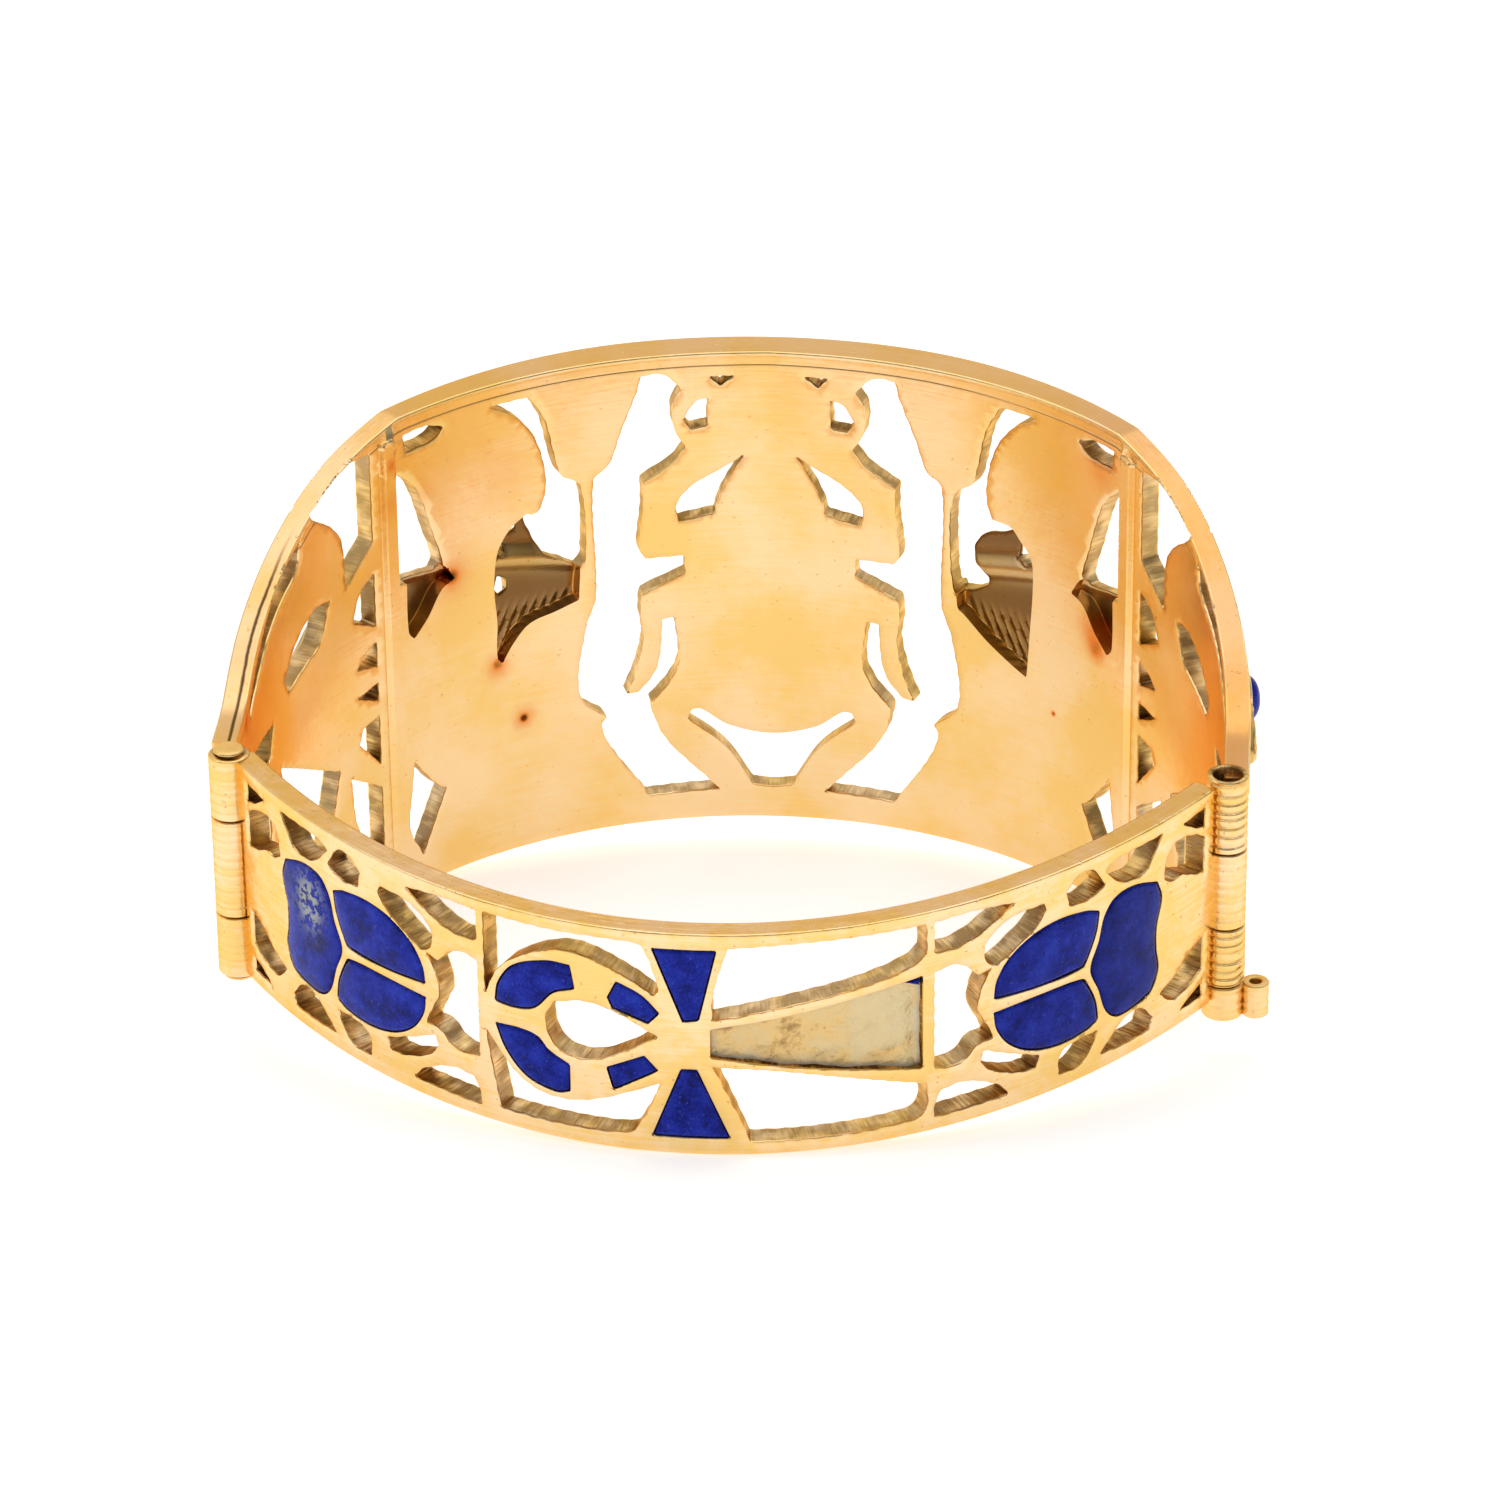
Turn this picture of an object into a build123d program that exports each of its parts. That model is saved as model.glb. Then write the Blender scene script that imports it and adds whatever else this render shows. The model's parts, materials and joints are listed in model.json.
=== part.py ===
from build123d import *
import math
import os

# A hinged wrist bangle of gold sheet, pierced and inlaid with lapis, in an ancient Egyptian manner.
# It has a tall front half and a narrow back half, which meet at a hinge on the left and a clasp on the right.
# The bangle is built upright, with its hinge lines along Z and its middle plane at Z 0: the back half bows
# towards -Y and the front half towards +Y. At the end every piece is laid in the pose in which the bangle
# rests by itself, on the middle of the back half and on the two lower corners of the front half.
# Places on the walls are given along the curve of the wall, counted from its middle, and up along Z.

# Driving dimensions, in millimetres and degrees
hinge_half = 28.85
back_depth = 19.45
back_end_angle = 43.6
back_half_height = 7.1
back_thickness = 1.5
back_rail = 0.7
back_post_at = 13.2
back_post_width = 0.5
back_side_window = 21.1

hinge_seat = 0.25
front_depth = 36.4
front_straight = 6.6
front_thickness = 1.35
front_rail_thickness = 2.5
front_side_rail_thickness = 1.5
front_half_height = 16.3
front_top_rail = 1.15
front_bottom_rail = 0.8
front_post_at = 26.0
front_post_width = 1.3
front_post_proud = 0.35
front_relief = 0.7
taper_top = 26.0
taper_bottom = 4.0
scarab_half = 9.2
figure_start = 11.0
side_window_length = 19.4

pocket_depth = 0.8
stone_gap = 0.06
stone_proud = 0.1

tube_radius = 1.22
tube_gap = 0.13
knuckle_gap = 0.1
hinge_top = 7.2
hinge_middle_top = 3.15
hinge_middle_bottom = -3.15
hinge_pin_radius = 0.7
hinge_head_radius = 0.95
hinge_head_height = 0.2
clasp_top = 7.5
clasp_upper_joint = 2.7
clasp_lower_joint = -2.2
clasp_bottom = -6.05
clasp_pin_radius = 0.8
clasp_pin_tip = 5.5
clasp_head_height = 2.15
ear_radius = 0.8
ear_hole_radius = 0.35
pin_clearance = 0.06

cabochon_radius = 1.6
cabochon_height = 1.3
cabochon_rim = 0.4
cabochon_cup_height = 0.5

# Sizes that follow: the front half's walls stand astride the hinge lines, their inner faces inside them
front_inner_half = hinge_half - hinge_seat
back_x_radius = hinge_half / math.sin(math.radians(back_end_angle))
back_y_radius = back_depth / (1 - math.cos(math.radians(back_end_angle)))
front_y_radius = front_depth - front_straight
back_window_half = back_post_at - back_post_width / 2
back_window_height = back_half_height - back_rail
front_window_half = front_post_at - front_post_width / 2
front_window_height = front_half_height - front_top_rail
beyond = 3.0
far_beyond = 60.0


def mirrored(outline):
    """The same outline on the other side of the middle."""
    return [(-u, v) for u, v in outline]


# Outlines on the walls. Every point is (share along, share up), and the shares are of the window that the
# outline lies in. The ankh's window is the back half's middle one, from its middle to a post and to a rail.
ankh_windows = [
    [(-1.00, 1.00), (-0.67, 0.99), (-0.30, 0.99), (-0.25, 0.94), (-0.18, 0.53), (-0.21, 0.48),
     (-0.31, 0.62), (-0.49, 0.78), (-0.63, 0.81), (-0.81, 0.67), (-0.93, 0.47), (-1.00, 0.19)],
    [(0.12, 0.97), (0.43, 0.99), (1.00, 0.99), (1.00, 0.70), (0.94, 0.61), (0.74, 0.50),
     (0.42, 0.39), (0.05, 0.25), (0.05, 0.45), (0.08, 0.72)],
    [(-1.00, -0.19), (-0.97, -0.55), (-0.93, -0.95), (-0.41, -0.95), (-0.30, -0.92), (-0.23, -0.67),
     (-0.18, -0.41), (-0.31, -0.52), (-0.46, -0.64), (-0.60, -0.70), (-0.74, -0.67), (-0.86, -0.53),
     (-0.95, -0.31)],
    [(0.05, -0.22), (0.13, -0.59), (0.21, -0.98), (0.51, -0.98), (0.95, -0.95), (1.00, -0.87),
     (1.00, -0.62), (0.65, -0.42), (0.34, -0.28)],
]
ankh_eye = [(-0.70, 0.09), (-0.66, -0.16), (-0.56, -0.25), (-0.42, -0.20), (-0.19, 0.06), (-0.36, 0.25),
            (-0.51, 0.33), (-0.66, 0.27)]
ankh_stones = {
    "ankh_loop_1": [(-0.95, 0.14), (-0.93, 0.34), (-0.85, 0.55), (-0.69, 0.67), (-0.58, 0.67),
                    (-0.56, 0.44), (-0.66, 0.36), (-0.75, 0.17), (-0.85, 0.12)],
    "ankh_loop_2": [(-0.95, -0.09), (-0.83, -0.08), (-0.74, -0.12), (-0.69, -0.23), (-0.59, -0.34),
                    (-0.59, -0.61), (-0.66, -0.64), (-0.80, -0.55), (-0.90, -0.33)],
    "ankh_loop_3": [(-0.37, 0.58), (-0.26, 0.47), (-0.18, 0.30), (-0.23, 0.19), (-0.39, 0.31), (-0.41, 0.41)],
    "ankh_loop_4": [(-0.42, -0.30), (-0.25, -0.14), (-0.19, -0.28), (-0.39, -0.52)],
    "ankh_arm_upper": [(-0.21, 0.95), (0.07, 0.95), (-0.01, 0.25), (-0.08, 0.23)],
    "ankh_arm_lower": [(-0.09, -0.25), (-0.02, -0.25), (0.12, -0.94), (-0.22, -0.94)],
}
ankh_stem = [(0.04, 0.16), (0.39, 0.28), (0.78, 0.42), (0.98, 0.48), (0.98, -0.45), (0.65, -0.33),
             (0.04, -0.12)]
ankh_chip = [(0.88, 0.45), (0.98, 0.48), (0.98, 0.37)]

# The back half's side window: shares of its length from a post, and of the height from the middle to a rail
back_side_windows = [
    [(0.00, 0.99), (0.12, 1.00), (0.24, 0.96), (0.20, 0.87), (0.13, 0.75), (0.07, 0.69), (0.00, 0.69)],
    [(0.15, 0.56), (0.16, 0.66), (0.20, 0.77), (0.25, 0.83), (0.34, 0.84), (0.35, 0.77), (0.31, 0.62),
     (0.24, 0.48), (0.19, 0.39), (0.16, 0.44)],
    [(0.42, 0.87), (0.46, 0.98), (0.51, 0.98), (0.56, 0.77), (0.50, 0.70), (0.43, 0.72)],
    [(0.56, 0.91), (0.60, 0.97), (0.79, 0.98), (0.76, 0.84), (0.72, 0.70), (0.64, 0.70), (0.60, 0.77)],
    [(0.88, 0.95), (0.98, 0.98), (0.98, 0.79), (0.94, 0.83)],
    [(0.80, 0.50), (0.81, 0.69), (0.85, 0.81), (0.93, 0.77), (0.98, 0.68), (0.98, 0.33), (0.93, 0.37),
     (0.87, 0.45), (0.83, 0.44)],
    [(0.00, 0.48), (0.05, 0.52), (0.10, 0.45), (0.13, 0.34), (0.17, 0.37), (0.14, 0.19), (0.13, 0.00),
     (0.15, -0.14), (0.18, -0.33), (0.13, -0.36), (0.10, -0.45), (0.06, -0.50), (0.00, -0.48)],
    [(0.15, -0.44), (0.21, -0.53), (0.33, -0.69), (0.32, -0.80), (0.26, -0.78), (0.17, -0.66), (0.14, -0.55)],
    [(0.40, -0.81), (0.42, -0.73), (0.49, -0.69), (0.54, -0.70), (0.51, -0.87), (0.47, -0.97), (0.40, -0.97)],
    [(0.55, -0.95), (0.60, -0.81), (0.65, -0.70), (0.71, -0.70), (0.76, -0.87), (0.75, -0.97), (0.64, -0.97)],
    [(0.79, -0.66), (0.86, -0.56), (0.92, -0.42), (0.98, -0.35), (0.98, -0.68), (0.92, -0.77), (0.84, -0.80)],
    [(0.88, -0.97), (0.93, -0.89), (0.98, -0.83), (0.98, -0.97)],
    [(0.00, -0.87), (0.02, -0.72), (0.09, -0.70), (0.19, -0.83), (0.23, -0.97), (0.13, -0.97), (0.00, -0.98)],
]
back_side_stones = {
    "elytron_upper": [(0.18, 0.05), (0.19, 0.23), (0.23, 0.42), (0.30, 0.56), (0.39, 0.62), (0.49, 0.59),
                      (0.54, 0.53), (0.53, 0.33), (0.50, 0.11), (0.48, 0.03), (0.33, 0.02)],
    "elytron_lower": [(0.18, -0.09), (0.33, -0.07), (0.48, -0.09), (0.50, -0.17), (0.53, -0.38), (0.54, -0.58),
                      (0.49, -0.64), (0.39, -0.66), (0.30, -0.60), (0.23, -0.46), (0.19, -0.27)],
    "pronotum": [(0.56, 0.45), (0.60, 0.59), (0.68, 0.61), (0.77, 0.52), (0.79, 0.33), (0.77, 0.06),
                 (0.77, -0.17), (0.78, -0.39), (0.75, -0.58), (0.68, -0.64), (0.61, -0.64), (0.57, -0.53),
                 (0.54, -0.27), (0.51, -0.03), (0.54, 0.22)],
}

# The front half's scarab: shares of its half width and of the height from the middle plane to the top rail
scarab_gap = [
    (0.71, 0.99), (0.59, 0.92), (0.65, 0.85), (0.64, 0.74), (0.57, 0.66), (0.64, 0.60), (0.73, 0.56),
    (0.86, 0.51), (0.86, 0.39), (0.89, 0.20), (0.85, 0.16), (0.58, 0.16), (0.58, 0.08), (0.88, 0.00),
    (0.89, -0.09), (0.87, -0.20), (0.92, -0.34), (1.00, -0.46), (0.91, -0.45), (0.78, -0.34), (0.74, -0.13),
    (0.66, -0.12), (0.63, -0.32), (0.70, -0.42), (0.83, -0.51), (0.79, -0.62), (0.70, -0.72), (0.48, -0.87),
    (0.37, -0.94), (0.86, -0.95), (1.10, -0.72), (1.18, -0.59), (1.14, -0.55), (1.33, -0.43), (1.28, -0.13),
    (1.20, 0.02), (1.20, 0.55), (1.09, 0.61), (1.01, 0.74), (0.89, 0.92), (0.86, 0.99)]
scarab_ring = [(0.42, 0.75), (0.53, 0.74), (0.58, 0.78), (0.49, 0.86), (0.41, 0.87)]
scarab_shoulder = [(0.18, 0.61), (0.27, 0.57), (0.52, 0.48), (0.63, 0.40), (0.62, 0.32), (0.38, 0.35),
                   (0.34, 0.43), (0.24, 0.55)]
scarab_brow = [(0.24, 0.97), (0.40, 0.97), (0.33, 0.93)]
scarab_windows = [scarab_gap, scarab_ring, scarab_shoulder, scarab_brow]
scarab_tail = [(0.00, -0.68), (0.30, -0.64), (0.49, -0.56), (0.55, -0.56), (0.58, -0.60), (0.32, -0.74),
               (0.14, -0.92), (0.00, -0.93)]
scarab_body = [(0.00, -0.66), (0.29, -0.62), (0.52, -0.51), (0.59, -0.32), (0.61, -0.12), (0.54, 0.08),
               (0.53, 0.16), (0.36, 0.33), (0.31, 0.44), (0.17, 0.61), (0.33, 0.67), (0.36, 0.90), (0.00, 0.94)]
scarab_stones = {
    "pronotum": [(-0.12, 0.56), (0.12, 0.56), (0.26, 0.42), (0.31, 0.32), (-0.31, 0.32), (-0.26, 0.42)],
    "elytron_right": [(0.03, 0.26), (0.38, 0.26), (0.47, 0.12), (0.53, -0.11), (0.51, -0.32), (0.43, -0.49),
                      (0.25, -0.58), (0.03, -0.62)],
}

# The front half's figure panel: shares of its length, from the scarab's gap to a post, and of the height
figure_windows = [
    [(0.48, 0.98), (0.37, 0.92), (0.27, 0.80), (0.22, 0.60), (0.25, 0.47), (0.32, 0.41), (0.08, 0.18),
     (0.05, 0.20), (0.06, 0.53), (0.15, 0.60), (0.18, 0.69), (0.22, 0.86), (0.29, 0.98)],
    [(0.94, 0.99), (0.81, 0.99), (0.72, 0.96), (0.77, 0.92), (0.93, 0.91)],
    [(0.99, 0.84), (0.88, 0.74), (0.79, 0.49), (0.75, 0.36), (0.77, 0.32), (0.99, 0.34)],
    [(0.94, -0.49), (0.82, -0.64), (0.77, -0.68), (0.91, -0.94), (0.98, -0.79), (0.96, -0.62)],
    [(0.35, 0.38), (0.41, 0.33), (0.38, 0.30)],
    [(0.44, 0.26), (0.43, 0.13), (0.38, 0.17)],
]
figure_relief = [
    [(0.46, 0.94), (0.34, 0.84), (0.27, 0.70), (0.26, 0.56), (0.33, 0.46), (0.50, 0.38), (0.71, 0.36),
     (0.74, 0.52), (0.82, 0.72), (0.76, 0.87), (0.62, 0.94)],
    [(0.50, 0.30), (0.74, 0.28), (0.90, 0.06), (0.86, -0.22), (0.92, -0.42), (0.76, -0.62), (0.66, -0.80),
     (0.26, -0.82), (0.18, -0.60), (0.26, -0.44), (0.50, -0.34), (0.50, -0.04)],
    [(0.34, 0.30), (0.46, 0.33), (0.50, 0.14), (0.28, 0.06), (0.08, 0.00), (0.03, 0.06), (0.08, 0.14)],
    [(0.00, 0.56), (0.06, 0.59), (0.13, 0.66), (0.17, 0.80), (0.22, 0.93), (0.04, 0.96), (-0.14, 0.94),
     (-0.10, 0.78), (-0.06, 0.64)],
]

# The front half's side window: shares of its length from a post, and of the height
front_side_windows = [
    [(0.04, 0.98), (0.04, 0.59), (0.18, 0.45), (0.19, 0.67), (0.24, 0.76), (0.34, 0.85), (0.36, 0.88),
     (0.15, 0.98)],
    [(0.04, 0.45), (0.04, 0.21), (0.15, 0.28), (0.11, 0.39)],
    [(0.04, 0.14), (0.04, 0.03), (0.14, 0.06), (0.09, 0.11)],
    [(0.04, -0.05), (0.04, -0.13), (0.14, -0.07)],
    [(0.04, -0.20), (0.04, -0.42), (0.14, -0.28), (0.12, -0.22)],
    [(0.04, -0.53), (0.04, -0.83), (0.16, -0.66), (0.19, -0.41)],
    [(0.25, -0.34), (0.64, -0.07), (0.56, -0.46), (0.35, -0.76)],
    [(0.27, 0.45), (0.35, 0.46), (0.48, 0.39), (0.58, 0.28), (0.55, 0.21), (0.41, 0.26), (0.33, 0.30)],
    [(0.43, 0.80), (0.46, 0.70), (0.59, 0.62), (0.70, 0.55), (0.82, 0.45), (0.96, 0.37), (0.96, 0.42),
     (0.79, 0.55), (0.67, 0.66), (0.54, 0.75)],
    [(0.69, 0.16), (0.94, 0.18), (0.96, 0.05), (0.74, 0.03)],
    [(0.72, -0.07), (0.96, -0.05), (0.95, -0.25), (0.75, -0.36)],
]
falcon_relief = [
    [(0.22, 0.58), (0.24, 0.70), (0.31, 0.78), (0.38, 0.76), (0.42, 0.64), (0.58, 0.54), (0.74, 0.44),
     (0.90, 0.32), (0.92, 0.24), (0.62, 0.22), (0.46, 0.48), (0.30, 0.50), (0.26, 0.32), (0.40, 0.20),
     (0.60, 0.14), (0.62, 0.04), (0.40, -0.08), (0.24, -0.24), (0.20, 0.00), (0.19, 0.30)],
    [(0.64, 0.12), (0.70, -0.02), (0.92, 0.00), (0.94, -0.02), (0.72, -0.04), (0.66, -0.10), (0.60, 0.00)],
]
cabochon_along = 0.67
cabochon_up = 0.36

# The front half's upper edge: shares of the way in Y from its low end to its high end, and of the rise
taper = [(0.00, 0.00), (0.12, 0.03), (0.31, 0.25), (0.57, 0.57), (0.82, 0.86), (1.00, 1.00)]


def along_wall(shape, start, length, height):
    """Shares turned into millimetres along the wall and up."""
    return [(start + u * length, v * height) for u, v in shape]


def wall_plane(wall, along):
    """The plane that touches a wall's line at a distance from its middle, its own z axis pointing outwards."""
    distance = wall.length / 2 + along
    tangent = wall.tangent_at(distance, PositionMode.LENGTH)
    spot = wall.position_at(distance, PositionMode.LENGTH)
    return Plane(origin=spot, x_dir=tangent, z_dir=tangent.cross(Vector(0, 0, 1)))


def wall_block(wall, outline, inset=0.0, curved=False):
    """A straight block through a wall, over an outline that is drawn in by an inset."""
    middle = sum(place for place, _ in outline) / len(outline)
    points = [(place - middle, up) for place, up in outline]
    with BuildPart() as block:
        with BuildSketch(wall_plane(wall, middle).offset(-beyond)):
            with BuildLine():
                if curved:
                    Spline(*points, periodic=True)
                else:
                    Polyline(*points, close=True)
            make_face()
            if inset:
                offset(amount=-inset, kind=Kind.INTERSECTION, mode=Mode.REPLACE)
        extrude(amount=3 * beyond)
    return block.part


def common(*solids):
    """The part that solids have in common."""
    with BuildPart() as overlap:
        add(solids[0])
        for solid in solids[1:]:
            add(solid, mode=Mode.INTERSECT)
    return overlap.part


def back_layer(low, high):
    """The back half's wall between two distances outwards from its outer face, up to the hinge lines."""
    centre = (0, back_y_radius - back_depth)
    turn = {"start_angle": 270 - back_end_angle, "arc_size": 2 * back_end_angle}
    with BuildPart() as layer:
        with BuildSketch(Plane.XY.offset(-back_half_height)):
            with BuildLine():
                outer = EllipticalCenterArc(centre, back_x_radius + high, back_y_radius + high, **turn)
                inner = EllipticalCenterArc(centre, back_x_radius + low, back_y_radius + low, **turn)
                Line(outer @ 0, inner @ 0)
                Line(outer @ 1, inner @ 1)
            make_face()
            Rectangle(2 * far_beyond, far_beyond, align=(Align.CENTER, Align.MAX), mode=Mode.INTERSECT)
        extrude(amount=2 * back_half_height)
    return layer.part


def front_layer(low, high, high_in_middle):
    """The front half's wall between two distances outwards from its inner face."""
    with BuildPart() as layer:
        with BuildSketch(Plane.XY.offset(-front_half_height)):
            with BuildLine():
                half = front_inner_half + high
                Line((half, 0), (half, front_straight))
                EllipticalCenterArc(
                    (0, front_straight), half, front_y_radius + high_in_middle, start_angle=0, arc_size=180)
                Polyline((-half, front_straight), (-half, 0), (half, 0))
            make_face()
            with BuildLine():
                half = front_inner_half + low
                Line((half, 0), (half, front_straight))
                EllipticalCenterArc(
                    (0, front_straight), half, front_y_radius + low, start_angle=0, arc_size=180)
                Polyline((-half, front_straight), (-half, 0), (half, 0))
            make_face(mode=Mode.SUBTRACT)
        extrude(amount=2 * front_half_height)
    return layer.part


def tube_piece(x, low, high, radius):
    """A length of upright tube or pin on a hinge line, as a solid rod."""
    with BuildPart() as rod:
        with BuildSketch(Plane.XY.offset(low)):
            with Locations((x, 0)):
                Circle(radius)
        extrude(amount=high - low)
    return rod.part


# The lines that the outlines are measured along: the back half's outer face and the front half's inner face
with BuildLine() as back_face:
    EllipticalCenterArc(
        (0, back_y_radius - back_depth), back_x_radius, back_y_radius,
        start_angle=270 - back_end_angle, arc_size=2 * back_end_angle)
back_wall = back_face.wire()

with BuildLine() as front_face:
    Line((front_inner_half, 0), (front_inner_half, front_straight))
    EllipticalCenterArc((0, front_straight), front_inner_half, front_y_radius, start_angle=0, arc_size=180)
    Line((-front_inner_half, front_straight), (-front_inner_half, 0))
front_wall = front_face.wire()

back_side_start = back_post_at + back_post_width / 2
front_side_start = front_post_at + front_post_width / 2
figure_length = front_window_half - figure_start


def taper_edge(inset):
    """The points of the front half's upper edge, lowered by an inset."""
    rise = front_half_height - back_half_height
    reach = taper_top - taper_bottom
    return [(taper_bottom + y * reach, back_half_height - inset + up * rise) for y, up in taper]


def taper_block(top_inset, bottom_inset):
    """Everything between the front half's upper and lower edges, closer together at the hinge lines."""
    upper_points = taper_edge(top_inset)
    lower_points = [(y, -z) for y, z in taper_edge(bottom_inset)]
    with BuildPart() as block:
        with BuildSketch(Plane.YZ.offset(-far_beyond)):
            with BuildLine():
                upper = Spline(*upper_points)
                lower = Spline(*lower_points)
                Polyline(upper @ 1, (far_beyond, (upper @ 1).Y), (far_beyond, (lower @ 1).Y), lower @ 1)
                Polyline(upper @ 0, (-far_beyond, (upper @ 0).Y), (-far_beyond, (lower @ 0).Y), lower @ 0)
            make_face()
        extrude(amount=2 * far_beyond)
    return block.part


# The back half
back_pocket_layer = back_layer(-pocket_depth, beyond)
back_stone_layer = back_layer(stone_gap - pocket_depth, stone_proud)
ankh_size = (0, back_window_half, back_window_height)
back_cuts = [wall_block(back_wall, along_wall(shape, *ankh_size)) for shape in ankh_windows]
back_cuts.append(wall_block(back_wall, along_wall(ankh_eye, *ankh_size), curved=True))
back_stones = {name: along_wall(shape, *ankh_size) for name, shape in ankh_stones.items()}
for side, word in ((-1, "left"), (1, "right")):
    side_size = (side * back_side_start, side * back_side_window, back_window_height)
    for shape in back_side_windows:
        back_cuts.append(wall_block(back_wall, along_wall(shape, *side_size)))
    for name, shape in back_side_stones.items():
        back_stones[f"back_{word}_{name}"] = along_wall(shape, *side_size)
stem_outline = along_wall(ankh_stem, *ankh_size)
for outline in [*back_stones.values(), stem_outline]:
    back_cuts.append(common(wall_block(back_wall, outline), back_pocket_layer))

# The other half's knuckles turn in these clear spaces
clear_radius = tube_radius + tube_gap
back_clear = [
    tube_piece(-hinge_half, hinge_middle_bottom - knuckle_gap, hinge_middle_top + knuckle_gap, clear_radius),
    tube_piece(hinge_half, clasp_upper_joint, clasp_top + beyond, clear_radius),
    tube_piece(hinge_half, -clasp_top - beyond, clasp_lower_joint, clear_radius),
]
back_knuckles = [
    tube_piece(-hinge_half, hinge_middle_top + knuckle_gap, hinge_top, tube_radius),
    tube_piece(-hinge_half, -hinge_top, hinge_middle_bottom - knuckle_gap, tube_radius),
    tube_piece(hinge_half, clasp_lower_joint, clasp_upper_joint, tube_radius),
]
bores = [
    tube_piece(-hinge_half, -far_beyond, far_beyond, hinge_pin_radius + pin_clearance),
    tube_piece(hinge_half, -far_beyond, far_beyond, clasp_pin_radius + pin_clearance),
]
back_plate = back_layer(-back_thickness, 0)
with BuildPart() as back_band:
    add(back_plate)
    add(back_cuts, mode=Mode.SUBTRACT)
    add(back_clear, mode=Mode.SUBTRACT)
    add(back_knuckles)
    add(bores, mode=Mode.SUBTRACT)

pieces = {"back_band": back_band.part}
for name, outline in back_stones.items():
    pieces[name] = common(wall_block(back_wall, outline, stone_gap), back_stone_layer)
chip_corner = wall_block(back_wall, along_wall(ankh_chip, *ankh_size))
pieces["ankh_stem_chip"] = common(wall_block(back_wall, stem_outline, stone_gap), chip_corner, back_stone_layer)

# The front half
scarab_size = (0, scarab_half, front_window_height)
raised_surface = front_thickness + front_relief
tail = scarab_tail + mirrored(scarab_tail[1:-1])[::-1]
body = scarab_body + mirrored(scarab_body[1:-1])[::-1]
front_cuts = [wall_block(front_wall, along_wall(tail, *scarab_size))]
front_raised = [wall_block(front_wall, along_wall(body, *scarab_size))]
front_stones = {"front_pronotum": along_wall(scarab_stones["pronotum"], *scarab_size)}
for side, word in ((-1, "right"), (1, "left")):
    half_scarab = (0, side * scarab_half, front_window_height)
    figure_size = (side * figure_start, side * figure_length, front_window_height)
    side_size = (side * front_side_start, side * side_window_length, front_window_height)
    cuts = [along_wall(shape, *half_scarab) for shape in scarab_windows]
    cuts += [along_wall(shape, *figure_size) for shape in figure_windows]
    cuts += [along_wall(shape, *side_size) for shape in front_side_windows]
    front_cuts += [wall_block(front_wall, outline) for outline in cuts]
    for shape in figure_relief:
        front_raised.append(wall_block(front_wall, along_wall(shape, *figure_size), curved=True))
    for shape in falcon_relief:
        front_raised.append(wall_block(front_wall, along_wall(shape, *side_size)))
    front_stones[f"front_elytron_{word}"] = along_wall(scarab_stones["elytron_right"], *half_scarab)
front_pocket_layer = front_layer(raised_surface - pocket_depth, beyond, beyond)
front_stone_layer = front_layer(
    raised_surface - pocket_depth + stone_gap, raised_surface + stone_proud, raised_surface + stone_proud)
front_pockets = []
for outline in front_stones.values():
    front_pockets.append(common(wall_block(front_wall, outline), front_pocket_layer))

cups = []
cup_pockets = []
cabochons = {}
for side, word in ((-1, "right"), (1, "left")):
    seat = wall_plane(front_wall, side * (front_side_start + cabochon_along * side_window_length))
    seat = seat.offset(front_thickness)
    centre = (0, cabochon_up * front_window_height)
    with BuildPart() as cup:
        with BuildSketch(seat.offset(-front_thickness / 2)):
            with Locations(centre):
                Circle(cabochon_radius + stone_gap + cabochon_rim)
        extrude(amount=front_thickness / 2 + cabochon_cup_height)
    cups.append(cup.part)
    with BuildPart() as cup_pocket:
        with BuildSketch(seat):
            with Locations(centre):
                Circle(cabochon_radius + stone_gap)
        extrude(amount=beyond)
    cup_pockets.append(cup_pocket.part)
    with BuildPart() as cabochon:
        with BuildSketch(seat.offset(stone_gap)):
            with Locations(centre):
                Circle(cabochon_radius)
        extrude(amount=cabochon_height)
        dome = cabochon.faces().sort_by(Axis(seat.origin, seat.z_dir))[-1]
        fillet(dome.edges(), radius=0.7 * cabochon_height)
    cabochons[f"front_cabochon_{word}"] = cabochon.part

with BuildPart() as relief_shapes:
    add(front_raised)

relief_layer = front_layer(0, raised_surface, raised_surface)
with BuildPart() as relief:
    add(relief_layer)
    add(relief_shapes.part, mode=Mode.INTERSECT)

front_posts = []
outer_posts = []
for side in (-1, 1):
    post_plane = wall_plane(front_wall, side * front_post_at)
    spot = post_plane.origin + post_plane.z_dir * (front_post_width / 2 - front_post_proud)
    with BuildPart() as post:
        with BuildSketch(Plane(origin=(spot.X, spot.Y, -front_half_height))):
            Circle(front_post_width / 2)
        extrude(amount=2 * front_half_height)
    front_posts.append(post.part)
    with BuildPart() as outer_post:
        with BuildSketch(post_plane):
            Rectangle(front_post_width, 2 * front_half_height)
        extrude(amount=front_thickness + front_relief)
    outer_posts.append(outer_post.part)

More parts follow.
